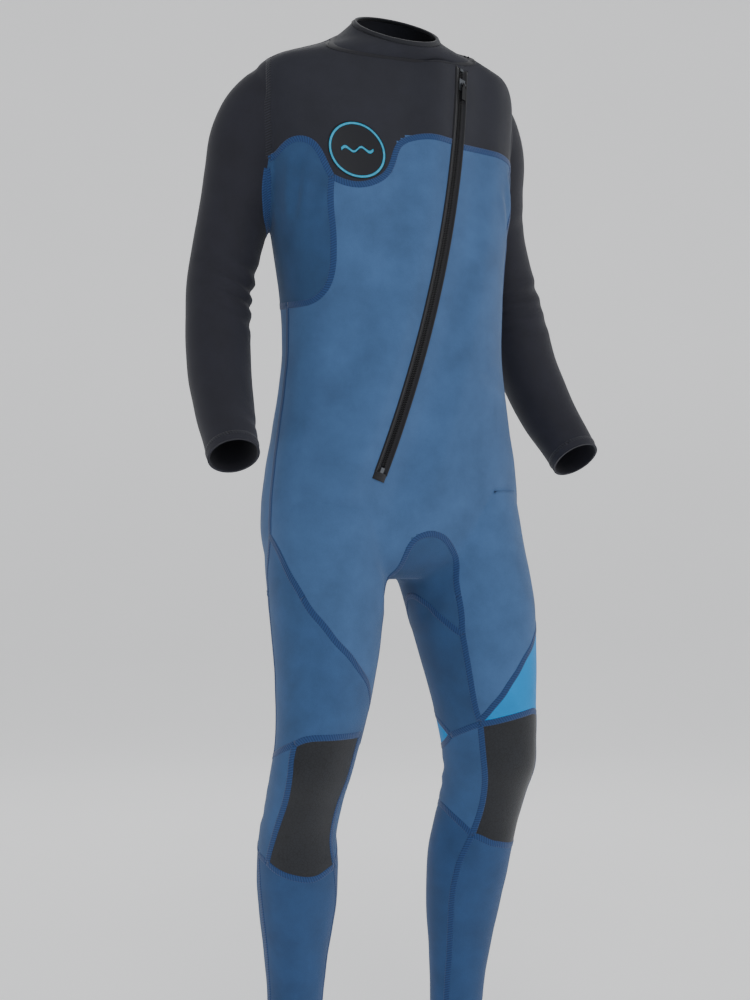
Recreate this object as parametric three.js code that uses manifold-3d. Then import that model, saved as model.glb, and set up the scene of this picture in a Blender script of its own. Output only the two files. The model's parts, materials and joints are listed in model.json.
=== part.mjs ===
// Full-length wetsuit with a diagonal front zip, long sleeves and legs, as its separate sewn pieces.
// Millimetres. +Z is up, the front faces -Y, the wearer's left is +X.
// The origin is in the middle of the neck opening, on the shoulder line.
import * as THREE from "three";
import { mergeVertices } from "three/addons/utils/BufferGeometryUtils.js";
import Module from "manifold-3d";

const wasm = await Module();
wasm.setup();

// ---- Sizes of the suit ----
const TORSO_LENGTH = 718; // shoulder line to crotch
const LEG_LENGTH = 700; // crotch to the ankle opening
const SLEEVE_DROP = 493; // height from the top of the sleeve to the wrist opening
const SHOULDER_WIDTH = 392; // outside, across the widest part of the shoulders
const CHEST_DEPTH = 199; // outside, front to back at the chest
const SLEEVE_WIDTH = 90; // across the sleeve at the elbow
const LEG_WIDTH = 103; // across the leg at the knee
const NEOPRENE = 3; // thickness of the foam rubber with its lining
const SEAM_GAP = 0.4; // between two panels at a seam
const FIT_GAP = 0.3; // between parts that lie against each other
const COLLAR_BASE = 152; // across the collar where it meets the yoke
const COLLAR_RIM = 118; // across the collar's opening
const COLLAR_HEIGHT = 35;
const COLLAR_LEAN = 26; // degrees that the collar leans forward
const BINDING_HEIGHT = 5; // bound edge along the collar's rim
const BINDING_EXTRA = 0.8; // how much further the binding stands out on each side
const CUFF_HEM = 12; // turned hem at the wrist
const ANKLE_HEM = 24; // turned hem at the ankle
const ZIP_SLOT = 20; // width of the slit that the zip fills
const TAPE_THICK = 1.2;
const TOOTH_PITCH = 16;
const TOOTH_REACH = 3; // from the zip's centre line to the back of a tooth
const TEETH_GAP = 1.4; // clear lane between the two tooth rows, where the slider's web runs
const SLIDER_LENGTH = 18;
const PULL_LENGTH = 24;
const PULL_WIDTH = 7;
const FLAP_WIDTH = 32; // smooth flap behind the zip
const FLAP_THICK = 1.6;
const BADGE_DIAMETER = 80;
const BADGE_THICK = 0.8;
const BADGE_LIFT = 0.7;

// Sizes that the tables below were drawn at, used only to scale them.
const DRAWN = { torso: 718, leg: 700, sleeve: 493, width: 392, depth: 199, sleeveWidth: 90, legWidth: 103 };
const wide = SHOULDER_WIDTH / DRAWN.width;
const deep = CHEST_DEPTH / DRAWN.depth;

// Height of a pattern level: levels above the crotch follow the torso's length, those below the leg's.
function level(u) {
  if (u >= -DRAWN.torso) return (u * TORSO_LENGTH) / DRAWN.torso;
  return -TORSO_LENGTH + ((u + DRAWN.torso) * LEG_LENGTH) / DRAWN.leg;
}

// Torso stations: level, half width, front, back, middle, squareness of the section.
const TORSO = [
  [34, 50, -30, 54, 8, 2.1],
  [18, 78, -38, 64, 10, 2.1],
  [6, 102, -46, 69, 12, 2.15],
  [-4, 134, -52, 73, 13, 2.2],
  [-14, 168, -55, 78, 14, 2.25],
  [-26, 188, -59, 84, 14, 2.3],
  [-48, 196, -64, 92, 12, 2.35],
  [-75, 194, -70, 101, 8, 2.4],
  [-100, 189, -77, 107, 5, 2.4],
  [-153, 182, -90, 116, 2, 2.4],
  [-200, 177, -99, 119, 0, 2.4],
  [-251, 170, -107, 114, 0, 2.4],
  [-300, 164, -112, 104, 0, 2.35],
  [-345, 160, -116, 94, 0, 2.3],
  [-400, 159, -118, 85, 0, 2.25],
  [-440, 162, -118, 83, 0, 2.2],
  [-480, 168, -117, 88, -2, 2.2],
  [-520, 175, -115, 97, -4, 2.2],
  [-572, 184, -111, 110, -8, 2.2],
  [-620, 189, -104, 119, -8, 2.2],
  [-660, 188, -94, 120, -6, 2.2],
  [-695, 178, -78, 104, -2, 2.1],
  [-718, 140, -46, 58, 4, 2.0],
];
// Sleeve stations from the shoulder to the wrist: centre x, y, level, half width, half depth.
const ARM = [
  [120, 22, -62, 46, 46],
  [160, 38, -82, 56, 54],
  [182, 50, -122, 60, 56],
  [190, 60, -175, 58, 55],
  [207, 68, -240, 49, 49],
  [229, 61, -318, 45, 45],
  [239, 48, -370, 43.5, 43.5],
  [247, 28, -430, 43, 43],
  [256, -4, -486, 40, 40],
  [264, -38, -530, 36, 36],
  [268, -58, -555, 34.5, 34.5],
];
// Leg stations: centre x, y, level, half size across the diagonal that points outward, and across the other.
const LEG = [
  [92, -4, -600, 92, 86],
  [102, -8, -680, 96, 84],
  [112, -22, -745, 92, 77],
  [118, -33, -810, 84, 70],
  [126, -39, -880, 74, 62],
  [134, -38, -935, 67.5, 55.5],
  [141, -30, -980, 64, 53.5],
  [142, -13, -1020, 60, 51],
  [141, 4, -1060, 59, 51.5],
  [137, 13, -1100, 59, 54.5],
  [134, 19, -1145, 56, 53.5],
  [132, 25, -1190, 50.5, 48],
  [130.5, 30, -1240, 43.5, 41.5],
  [129, 36, -1310, 37, 36],
  [128, 41, -1370, 35.5, 35],
  [128, 45, -1418, 36.5, 36],
];

const rad = THREE.MathUtils.degToRad;
const vec = (x, y, z) => new THREE.Vector3(x, y, z);

// Smooth value of every column of a table at key k, where column `key` holds the keys in falling order.
function between(table, key, k) {
  const keyOf = (i) => (key < 0 ? -i : table[i][key]);
  let i = 0;
  while (i < table.length - 2 && k < keyOf(i + 1)) i += 1;
  const span = keyOf(i + 1) - keyOf(i);
  const t = (k - keyOf(i)) / span;
  const slope = (j, c) => {
    const a = Math.max(j - 1, 0);
    const b = Math.min(j + 1, table.length - 1);
    return ((table[b][c] - table[a][c]) / (keyOf(b) - keyOf(a))) * span;
  };
  return table[i].map((v0, c) => {
    const v1 = table[i + 1][c];
    const cubic = (2 * v0 - 2 * v1 + slope(i, c) + slope(i + 1, c)) * t ** 3;
    const square = (-3 * v0 + 3 * v1 - 2 * slope(i, c) - slope(i + 1, c)) * t * t;
    return cubic + square + slope(i, c) * t + v0;
  });
}

const signedPower = (v, e) => Math.sign(v) * Math.abs(v) ** e;

// The torso's outline at a pattern level, drawn in by `inset`. At 0 degrees it is the wearer's left side,
// at -90 the front.
const torso = {
  at(degrees, u, inset = 0) {
    const [, half, front, back, middle, square] = between(TORSO, 0, u);
    const c = Math.cos(rad(degrees));
    const s = Math.sin(rad(degrees));
    const reach = (s < 0 ? middle - front : back - middle) * deep - inset;
    const x = (half * wide - inset) * signedPower(c, 2 / square);
    return vec(x, middle * deep + reach * signedPower(s, 2 / square), level(u));
  },
  core(u) {
    return vec(0, between(TORSO, 0, u)[4] * deep, level(u));
  },
};

// A leg. At 45 degrees it is the outer side, at -45 the front, at -135 the inner side, at 135 the back.
function leg(side) {
  const girth = LEG_WIDTH / DRAWN.legWidth;
  return {
    at(degrees, u, inset = 0) {
      const [x, y, , across, other] = between(LEG, 2, u);
      const p = (across * girth - inset) * Math.cos(rad(degrees));
      const q = (other * girth - inset) * Math.sin(rad(degrees));
      const h = Math.SQRT1_2;
      return vec(side * (x * wide + (p + q) * h), y * deep + (q - p) * h, level(u));
    },
    core(u) {
      const [x, y] = between(LEG, 2, u);
      return vec(side * x * wide, y * deep, level(u));
    },
  };
}

// A sleeve, whose stations are numbered 0 to -10 from shoulder to wrist.
// At 0 degrees it is the inner side, at 90 the back, at -90 the front.
function arm(side) {
  const girth = SLEEVE_WIDTH / DRAWN.sleeveWidth;
  const centre = (k) => {
    const [x, y, u] = between(ARM, -1, k);
    const drop = ((u - ARM[0][2]) * SLEEVE_DROP) / DRAWN.sleeve;
    return vec(x * wide, y * deep, (ARM[0][2] * TORSO_LENGTH) / DRAWN.torso + drop);
  };
  const along = (k) => centre(Math.max(k - 0.05, -10)).sub(centre(Math.min(k + 0.05, 0))).normalize();
  return {
    along(k) {
      const t = along(k);
      return vec(side * t.x, t.y, t.z);
    },
    at(degrees, k, inset = 0) {
      const [, , , a, b] = between(ARM, -1, k);
      const t = along(k);
      const inward = vec(0, 1, 0).cross(t).normalize();
      const backward = t.clone().cross(inward);
      const p = centre(k)
        .addScaledVector(inward, (a * girth - inset) * Math.cos(rad(degrees)))
        .addScaledVector(backward, (b * girth - inset) * Math.sin(rad(degrees)));
      return vec(side * p.x, p.y, p.z);
    },
    core(k) {
      const p = centre(k);
      return vec(side * p.x, p.y, p.z);
    },
  };
}

// ---- The circle that the zip is sewn along: through three points of the front ----
const zipTop = torso.at(-68, -27);
const zipMiddle = torso.at(-87.5, -300);
const zipBottom = torso.at(-112, -578);
const hinge = (() => {
  const a = zipMiddle.clone().sub(zipTop);
  const b = zipBottom.clone().sub(zipTop);
  const n = a.clone().cross(b).normalize();
  if (n.x < 0) n.negate();
  const cross = a.clone().cross(b);
  const toCentre = cross.clone().cross(a).multiplyScalar(b.lengthSq());
  toCentre.add(b.clone().cross(cross).multiplyScalar(a.lengthSq())).divideScalar(2 * cross.lengthSq());
  const centre = zipTop.clone().add(toCentre);
  const out = zipMiddle.clone().sub(centre).normalize();
  return { n, centre, radius: toCentre.length(), out, down: n.clone().cross(out).negate() };
})();
if (hinge.down.z > 0) hinge.down.negate();
const turnOf = (p) => {
  const r = p.clone().sub(hinge.centre);
  return Math.atan2(r.dot(hinge.down), r.dot(hinge.out));
};
const zipStart = turnOf(zipTop) - 0.004;
const zipEnd = turnOf(zipBottom);
// A point of the zip: turn along the circle, distance to the wearer's left of the centre line, height over
// the suit's outside.
function onZip(turn, d, h) {
  return hinge.centre
    .clone()
    .addScaledVector(hinge.out, (hinge.radius + h) * Math.cos(turn))
    .addScaledVector(hinge.down, (hinge.radius + h) * Math.sin(turn))
    .addScaledVector(hinge.n, d);
}
const smooth = (a, b, v) => THREE.MathUtils.smoothstep(v, a, b);

// Draws the outside of the front onto the zip's circle close to the zip, so that the zip lies flush.
function flatten(p, inset) {
  const r = p.clone().sub(hinge.centre);
  const d = r.dot(hinge.n);
  r.addScaledVector(hinge.n, -d);
  const turn = Math.atan2(r.dot(hinge.down), r.dot(hinge.out));
  const near = 1 - smooth(30, 80, Math.abs(d));
  const inRange = smooth(zipStart - 0.05, zipStart - 0.005, turn) * (1 - smooth(zipEnd + 0.01, zipEnd + 0.08, turn));
  if (r.length() < hinge.radius * 0.9) return p;
  const shift = (hinge.radius - inset - r.length()) * near * inRange;
  return p.clone().addScaledVector(r.normalize(), shift);
}

// ---- Solids ----
function solid(geometry, weld = 1e-4) {
  const bare = geometry.clone();
  bare.deleteAttribute("normal");
  bare.deleteAttribute("uv");
  const merged = mergeVertices(bare, weld);
  const mesh = new wasm.Mesh({
    numProp: 3,
    vertProperties: Float32Array.from(merged.attributes.position.array),
    triVerts: Uint32Array.from(merged.index.array),
  });
  const made = new wasm.Manifold(mesh);
  if (made.volume() >= 0) return made;
  for (let i = 0; i < mesh.triVerts.length; i += 3) {
    const first = mesh.triVerts[i];
    mesh.triVerts[i] = mesh.triVerts[i + 1];
    mesh.triVerts[i + 1] = first;
  }
  return new wasm.Manifold(mesh);
}

// A closed tube round a limb through its stations at the given keys.
function limbTube(limb, keys, inset, round, shape = (p) => p) {
  const rows = keys.length - 1;
  const geometry = new THREE.CylinderGeometry(1, 1, 1, round, rows);
  const position = geometry.attributes.position;
  for (let i = 0; i < position.count; i += 1) {
    const key = keys[Math.round((0.5 - position.getY(i)) * rows)];
    const x = position.getX(i);
    const z = position.getZ(i);
    const rim = Math.hypot(x, z);
    const degrees = Math.round(THREE.MathUtils.radToDeg(Math.atan2(z, x)) * 100) / 100;
    const p = rim > 0.5 ? shape(limb.at(degrees, key, inset), inset) : limb.core(key);
    position.setXYZ(i, p.x, p.y, p.z);
  }
  return solid(geometry);
}

// A box bent to any shape: place(i, j, k) gives the point for 0..1 along each side.
function bentBox(steps, place, across = 1) {
  const geometry = new THREE.BoxGeometry(1, 1, 1, steps, across, 1);
  const position = geometry.attributes.position;
  for (let i = 0; i < position.count; i += 1) {
    const p = place(position.getX(i) + 0.5, position.getY(i) + 0.5, position.getZ(i) + 0.5);
    position.setXYZ(i, p.x, p.y, p.z);
  }
  // Turns the diagonals of one broad face, so that the two broad faces of a twisted strip stay parallel.
  const last = geometry.groups[5];
  const index = geometry.index;
  for (let i = last.start; i < last.start + last.count; i += 6) {
    const [a, b, c, d] = [index.getX(i), index.getX(i + 1), index.getX(i + 4), index.getX(i + 2)];
    [a, b, c, a, c, d].forEach((v, j) => index.setX(i + j, v));
  }
  return solid(geometry);
}

// The thin cut along a seam. Every stop is a point on the outside and the direction that leaves the body there.
const OVERRUN = 6; // how far each cut runs past the seam that it meets
function seamCut(stops, inward = 14, outward = 12, step = 45) {
  return seamStrip(lengthened(seamFrames(stops, false, step), OVERRUN), inward, outward);
}

function lengthened(frames, by) {
  const extend = (end, next) => {
    const step = end.p.clone().sub(next.p).setLength(by);
    return { p: end.p.clone().add(step), out: end.out, aside: end.aside };
  };
  return [extend(frames[0], frames[1]), ...frames, extend(frames.at(-1), frames.at(-2))];
}

// The same for a seam that closes on itself: two strips that lap each other a little, joined.
function seamRing(stops, inward = 14, outward = 12) {
  const frames = seamFrames(stops, true, 34);
  const middle = Math.floor(frames.length / 2);
  const first = seamStrip(lengthened(frames.slice(0, middle + 1), 0.6), inward, outward);
  return first.add(seamStrip(lengthened(frames.slice(middle), 0.6), inward, outward));
}

function seamFrames(stops, closed, step) {
  const line = new THREE.CatmullRomCurve3(stops.map((s) => s.p), closed, "centripetal");
  const frames = [];
  const spans = closed ? stops.length : stops.length - 1;
  for (let j = 0; j < spans; j += 1) {
    const next = stops[(j + 1) % stops.length];
    const steps = Math.max(1, Math.round(next.p.distanceTo(stops[j].p) / step));
    for (let i = j === 0 ? 0 : 1; i <= steps; i += 1) {
      const out = stops[j].out.clone().lerp(next.out, i / steps).normalize();
      const t = (j + i / steps) / spans;
      frames.push({ p: line.getPoint(t), out, aside: line.getTangent(t).cross(out).normalize() });
    }
  }
  return frames;
}

function seamStrip(frames, inward, outward) {
  const steps = frames.length - 1;
  return bentBox(steps, (i, j, k) => {
    const f = frames[Math.round(i * steps)];
    const p = f.p.clone().addScaledVector(f.out, j * (inward + outward) - inward);
    return p.addScaledVector(f.aside, (k - 0.5) * SEAM_GAP);
  });
}

// Seam stops from [limb, degrees, level] rows.
const stop = (limb, degrees, u) => {
  const p = limb.at(degrees, u);
  const a = limb.at(degrees - 3, u);
  const b = limb.at(degrees + 3, u);
  const out = b.sub(a).cross(vec(0, 0, 1)).normalize();
  if (out.dot(p.clone().sub(limb.core(u))) < 0) out.negate();
  return { p, out };
};
const seam = (limb, rows) => rows.map(([degrees, u]) => stop(limb, degrees, u));

function slab(centre, normal, width, a, b) {
  const geometry = new THREE.BoxGeometry(a, b, width);
  const turn = new THREE.Quaternion().setFromUnitVectors(vec(0, 0, 1), normal.clone().normalize());
  geometry.applyQuaternion(turn);
  geometry.translate(centre.x, centre.y, centre.z);
  return solid(geometry);
}

function boxBetween(a, b) {
  const geometry = new THREE.BoxGeometry(b.x - a.x, b.y - a.y, b.z - a.z);
  geometry.translate((a.x + b.x) / 2, (a.y + b.y) / 2, (a.z + b.z) / 2);
  return solid(geometry);
}

// ---- Colours ----
const COLOURS = {
  black: { color: 0x22222c, roughness: 0.9, metalness: 0 },
  blue: { color: 0x47709c, roughness: 0.85, metalness: 0 },
  panel: { color: 0x3d6491, roughness: 0.85, metalness: 0 },
  cyan: { color: 0x028fd6, roughness: 0.75, metalness: 0 },
  pad: { color: 0x1a1c22, roughness: 0.6, metalness: 0 },
  zip: { color: 0x15151a, roughness: 0.5, metalness: 0 },
  metal: { color: 0x4a4a50, roughness: 0.35, metalness: 0.9 },
};
const group = new THREE.Group();
group.name = "full_wetsuit";

function shapeOf(made) {
  const mesh = made.getMesh();
  const geometry = new THREE.BufferGeometry();
  geometry.setAttribute("position", new THREE.BufferAttribute(Float32Array.from(mesh.vertProperties), 3));
  geometry.setIndex(new THREE.BufferAttribute(Uint32Array.from(mesh.triVerts), 1));
  return geometry;
}

function put(name, made, colour) {
  const geometry = shapeOf(made);
  geometry.computeVertexNormals();
  const node = new THREE.Mesh(geometry, new THREE.MeshStandardMaterial(COLOURS[colour]));
  node.name = name;
  group.add(node);
}

// Names the separate solids of a cut shell: each label gives a spot in the middle of its panel.
function share(made, labels) {
  const pieces = solid(shapeOf(made), 1e-3).decompose();
  const taken = new Map();
  for (const [name, colour, spot] of labels) {
    const ball = new THREE.SphereGeometry(6, 8, 6).translate(spot.x, spot.y, spot.z);
    const probe = solid(ball);
    const found = pieces.filter((piece) => piece.intersect(probe).volume() > 0.5);
    if (found.length !== 1) throw new Error(`${name}: ${found.length} panels at its spot`);
    if (taken.has(found[0])) throw new Error(`${name}: its panel isn't cut free of ${taken.get(found[0])}`);
    taken.set(found[0], name);
    put(name, found[0], colour);
  }
  const left = pieces.filter((piece) => !taken.has(piece));
  const where = left.map((piece) => JSON.stringify([piece.volume(), piece.boundingBox()]));
  if (left.length) throw new Error(`panels without a name: ${where.join(" | ")}`);
}

// ---- The whole skin ----
const legs = { right: leg(-1), left: leg(1) };
const arms = { right: arm(-1), left: arm(1) };
const SIDES = [
  ["right", -1],
  ["left", 1],
];

const TORSO_ROWS = [18, 4, -6, -14, -26, -48, -75, -110, -150, -200, -260, -330, -410, -480, -550, -610, -660, -695];
const LEG_ROWS = [-660, -720, -790, -870, -935, -975, -1010, -1045, -1085, -1130, -1190, -1260, -1340];
const ARM_ROWS = [-1, -2, -2.6, -3.2, -4, -5, -6, -7, -8, -9, -10];
let outside = limbTube(torso, [34, ...TORSO_ROWS, -718], 0, 30, flatten);
let inside = limbTube(torso, [40, ...TORSO_ROWS, -718 + NEOPRENE], NEOPRENE, 30, flatten);
for (const [name] of SIDES) {
  outside = outside.add(limbTube(legs[name], [-600, ...LEG_ROWS, -1418], 0, 16));
  inside = inside.add(limbTube(legs[name], [-590, ...LEG_ROWS, -1418, -1424], NEOPRENE, 16));
  outside = outside.add(limbTube(arms[name], [0, ...ARM_ROWS], 0, 14));
  inside = inside.add(limbTube(arms[name], [-0.4, ...ARM_ROWS, -10.3], NEOPRENE, 14));
}
let skin = outside.subtract(inside);

// ---- Collar: a leaning tube on a slightly flared base ----
const lean = vec(0, -Math.sin(rad(COLLAR_LEAN)), Math.cos(rad(COLLAR_LEAN)));
const collarFoot = vec(0, -2, -2);
// A ring of the collar: height above the foot along its lean, radius given outside.
function collarRing(from, to, outerFrom, outerTo, thick) {
  const profile = [
    new THREE.Vector2(outerFrom - thick, from),
    new THREE.Vector2(outerFrom, from),
    new THREE.Vector2(outerTo, to),
    new THREE.Vector2(outerTo - thick, to),
    new THREE.Vector2(outerFrom - thick, from),
  ];
  const geometry = new THREE.LatheGeometry(profile, 32);
  geometry.rotateX(Math.PI / 2 + rad(COLLAR_LEAN));
  geometry.translate(collarFoot.x, collarFoot.y, collarFoot.z);
  return solid(geometry);
}
const footRadius = COLLAR_BASE / 2;
const rimRadius = COLLAR_RIM / 2;
const narrowing = (footRadius - rimRadius) / COLLAR_HEIGHT;
const outerAt = (h) => footRadius - narrowing * h;
const collarTop = COLLAR_HEIGHT - BINDING_HEIGHT;
const bindThick = NEOPRENE + 2 * BINDING_EXTRA;
const bindOuter = outerAt(collarTop) + BINDING_EXTRA;
// The seam where the collar meets the yoke: it dips to the front.
const collarSeam = (degrees) => {
  const s = Math.sin(rad(degrees));
  return torso.at(degrees, 18 + s * (s < 0 ? 38 : 4));
};
const collarMiddle = vec(0, 2, 0);
const aside = (degrees) => collarSeam(degrees).sub(collarMiddle).setZ(0).normalize();
// The collar's outside, from its seam at 0 to its binding at 1.
const collarForm = {
  at(degrees, k, inset = 0) {
    const across = vec(Math.cos(rad(degrees)), 0, 0).multiplyScalar(outerAt(collarTop));
    const toBack = vec(0, lean.z, -lean.y).multiplyScalar(Math.sin(rad(degrees)) * outerAt(collarTop));
    const rim = collarFoot.clone().addScaledVector(lean, collarTop).add(across).add(toBack);
    return collarSeam(degrees).lerp(rim, k).addScaledVector(aside(degrees), -inset);
  },
  core(k) {
    const rim = collarFoot.clone().addScaledVector(lean, collarTop);
    return collarMiddle.clone().lerp(rim, k);
  },
};
// Room for it in the yoke: how far outward and up each ring lies from the seam.
const COLLAR_ROOM = [
  [-25, -40],
  [FIT_GAP, 0],
  [12, 6],
  [20, 90],
];
const roomForm = {
  at(degrees, k) {
    const [outward, up] = COLLAR_ROOM[k];
    return collarSeam(degrees).addScaledVector(aside(degrees), outward).add(vec(0, 0, up));
  },
  core(k) {
    return collarMiddle.clone().add(vec(0, 0, COLLAR_ROOM[k][1]));
  },
};
skin = skin.subtract(limbTube(roomForm, [3, 2, 1, 0], 0, 32));
const collarSolid = limbTube(collarForm, [1, 0.67, 0.33, 0], 0, 32);
const collarHollow = limbTube(collarForm, [1.3, 1, 0.67, 0.33, 0, -0.3], NEOPRENE, 32);
put("collar", solid(shapeOf(collarSolid.subtract(collarHollow)), 1e-3), "black");
put(
  "collar_binding",
  collarRing(collarTop + FIT_GAP, COLLAR_HEIGHT, bindOuter, bindOuter - narrowing * BINDING_HEIGHT, bindThick),
  "zip",
);

// ---- Zip: the slit, the flap behind it, tapes, teeth, stops, slider and pull ----
const zipBox = (fromTurn, toTurn, d0, d1, h0, h1, steps) =>
  bentBox(steps, (i, j, k) => onZip(fromTurn + (toTurn - fromTurn) * i, d0 + (d1 - d0) * j, h0 + (h1 - h0) * k));
const perMm = 1 / hinge.radius; // turn for one millimetre along the zip
const halfSlot = ZIP_SLOT / 2;
skin = skin.subtract(zipBox(zipStart, zipEnd, -halfSlot, halfSlot, -30, 20, 18));
const flapTop = -NEOPRENE - FIT_GAP;
const flapEnd = zipEnd + 8 * perMm;
const flapStart = zipStart + 4 * perMm;
const flapRoom = zipBox(
  flapStart - 4 * perMm,
  flapEnd + 2 * perMm,
  -FLAP_WIDTH / 2 - 1,
  FLAP_WIDTH / 2 + 1,
  -40,
  -NEOPRENE,
  18,
);
skin = skin.subtract(flapRoom);
const flap = zipBox(flapStart, flapEnd, -FLAP_WIDTH / 2, FLAP_WIDTH / 2, flapTop - FLAP_THICK, flapTop, 18);
put("zip_flap", flap, "black");
const tapeTop = -0.7;
const tapeEdge = TOOTH_REACH + FIT_GAP;
const toothInner = TEETH_GAP / 2;
for (const [name, side] of SIDES) {
  const outer = side * (halfSlot - FIT_GAP);
  const [d0, d1] = [side * tapeEdge, outer].sort((a, b) => a - b);
  const from = zipStart + FIT_GAP * perMm;
  const to = zipEnd - FIT_GAP * perMm;
  put(`zip_tape_${name}`, zipBox(from, to, d0, d1, tapeTop - TAPE_THICK, tapeTop, 18), "zip");
  // A row of teeth: its inner edge runs in and out once for each tooth, half a pitch apart on the two sides.
  const first = zipStart + 6 * perMm;
  const last = zipEnd - 12 * perMm;
  const steps = 2 * Math.floor((last - first) / perMm / TOOTH_PITCH);
  const row = bentBox(steps, (i, j, k) => {
    const crest = (Math.round(i * steps) + (side > 0 ? 0 : 1)) % 2 === 0;
    const inner = crest ? toothInner : toothInner + 1.2;
    const height = crest ? 0.9 : 0.3;
    return onZip(first + (last - first) * i, side * (inner + (TOOTH_REACH - inner) * j), -1.8 + (1.8 + height) * k);
  });
  put(`zip_teeth_${name}`, row, "zip");
}
const stopAt = zipEnd - 9 * perMm;
put("zip_bottom_stop", zipBox(stopAt, stopAt + 7 * perMm, -3, 3, -2, 1.4, 1), "metal");
put("zip_top_stop", zipBox(zipStart + 1 * perMm, zipStart + 5 * perMm, -3, 3, -2, 1.4, 1), "metal");

const sliderAt = zipStart + 18 * perMm;
const sliderEnd = sliderAt + SLIDER_LENGTH * perMm;
const topPlate = zipBox(sliderAt, sliderEnd, -5.5, 5.5, 1.3, 2.5, 2);
const underPlate = zipBox(sliderAt + 2 * perMm, sliderEnd - 2 * perMm, -5, 5, -2.9, -2.2, 2);
const web = zipBox(sliderAt + 3 * perMm, sliderEnd - 3 * perMm, -0.35, 0.35, -2.6, 1.6, 2);
let slider = topPlate.add(underPlate).add(web);
const pinTurn = sliderAt + 9 * perMm;
const pinHeight = 5.1;
for (const side of [-1, 1]) {
  const post = [side * 2.4, side * 3.6].sort((a, b) => a - b);
  slider = slider.add(zipBox(pinTurn - 1.4 * perMm, pinTurn + 1.4 * perMm, post[0], post[1], 2.2, 6.2, 1));
}
// A round bar across the zip at the pull's pin.
function bar(radius, from, to, segments) {
  const geometry = new THREE.CylinderGeometry(radius, radius, to - from, segments);
  geometry.translate(0, (from + to) / 2, 0);
  geometry.applyQuaternion(new THREE.Quaternion().setFromUnitVectors(vec(0, 1, 0), hinge.n));
  const centre = onZip(pinTurn, 0, pinHeight);
  geometry.translate(centre.x, centre.y, centre.z);
  return solid(geometry);
}
slider = slider.add(bar(0.7, -2.6, 2.6, 14));
put("slider_body", slider, "metal");
// The pull hangs down the zip from the pin: an eye and a plate.
let pull = bar(2, -1.9, 1.9, 20);
pull = pull.add(
  zipBox(pinTurn + 1 * perMm, pinTurn + 6 * perMm, -1.9, 1.9, pinHeight - 0.9, pinHeight + 0.9, 1),
);
pull = pull.add(
  zipBox(
    pinTurn + 5.5 * perMm,
    pinTurn + PULL_LENGTH * perMm,
    -PULL_WIDTH / 2,
    PULL_WIDTH / 2,
    pinHeight - 1.1,
    pinHeight + 1.1,
    3,
  ),
);
pull = pull.subtract(bar(1, -4, 4, 14));
put("pull_tab", pull, "zip");

// ---- Sleeves: cut free at the armhole, then into their parts ----
const armholeNormal = (side) => vec(side, 0.5, 0).normalize();
for (const [name, side] of SIDES) {
  const n = armholeNormal(side);
  const reach = level(-265);
  const across = vec(-n.y, n.x, 0);
  const geometry = new THREE.BoxGeometry(SEAM_GAP, 420, 60 - reach);
  geometry.applyMatrix4(new THREE.Matrix4().makeBasis(n, across, vec(0, 0, 1)));
  const middle = vec(side * 187 * wide, 0, (60 + reach) / 2);
  geometry.translate(middle.x, middle.y, middle.z);
  skin = skin.subtract(solid(geometry));
}
const parts = solid(shapeOf(skin), 1e-3).decompose();
const extreme = (side) =>
  parts.reduce((best, piece) => {
    const box = piece.boundingBox();
    const value = side > 0 ? box.max[0] : -box.min[0];
    return !best || value > best.value ? { piece, value } : best;
  }, null).piece;
const trunk = parts.reduce((best, piece) => (piece.volume() > best.volume() ? piece : best));

for (const [name, side] of SIDES) {
  let sleeve = extreme(side);
  const limb = arms[name];
  // Underarm gusset: a leaf on the inner side, cut straight through front and back.
  const edge = [
    [110, -146],
    [176, -146],
    [189, -160],
    [190, -190],
    [186, -218],
    [174, -245],
    [156, -264],
    [140, -276],
  ].map(([x, u]) => ({ p: vec(side * x * wide, 40, level(u)), out: vec(0, -1, 0) }));
  sleeve = sleeve.subtract(seamCut(edge, 130, 130));
  const cross = (k) => slab(limb.core(k), limb.along(k), SEAM_GAP, 180, 180);
  for (const k of [-4.45, -6.35]) sleeve = sleeve.subtract(cross(k));
  const wrist = limb.core(-10).addScaledVector(limb.along(-10), -CUFF_HEM);
  sleeve = sleeve.subtract(slab(wrist, limb.along(-10), SEAM_GAP, 140, 140));
  const wristMiddle = limb.at(180, -10).addScaledVector(limb.along(-10), -CUFF_HEM / 2);
  share(sleeve, [
    [`sleeve_upper_${name}`, "black", limb.at(180, -3, NEOPRENE / 2)],
    [`underarm_gusset_${name}`, "panel", limb.at(10, -3.75, NEOPRENE / 2)],
    [`elbow_${name}`, "black", limb.at(180, -5.2, NEOPRENE / 2)],
    [`forearm_${name}`, "black", limb.at(180, -8, NEOPRENE / 2)],
    [`wrist_cuff_${name}`, "black", wristMiddle],
  ]);
}

// ---- Trunk and legs: the seams between the panels ----
const cuts = [];
const cut = (limb, rows, inward, outward, step) => cuts.push(seamCut(seam(limb, rows), inward, outward, step));
// Lower edge of the yoke at the front, with the scallop round the badge on the right.
cut(torso, [
  [-190, -172],
  [-178, -157],
  [-162, -138],
  [-150, -132],
  [-141, -141],
  [-138, -162],
  [-135, -186],
  [-130, -194],
  [-120, -199],
  [-110, -192],
  [-104, -179],
  [-101, -157],
  [-99, -137],
  [-95, -127],
  [-89, -126],
  [-73, -131],
]);
cut(torso, [
  [-77, -133],
  [-69, -136],
  [-54, -137],
  [-37, -142],
  [-24, -150],
  [-8, -160],
  [10, -170],
]);
// Lower edge of the yoke at the back.
cut(torso, [20, 38, 54, 72, 90, 108, 126, 142, 160].map((degrees) => [degrees, -150]));
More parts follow.
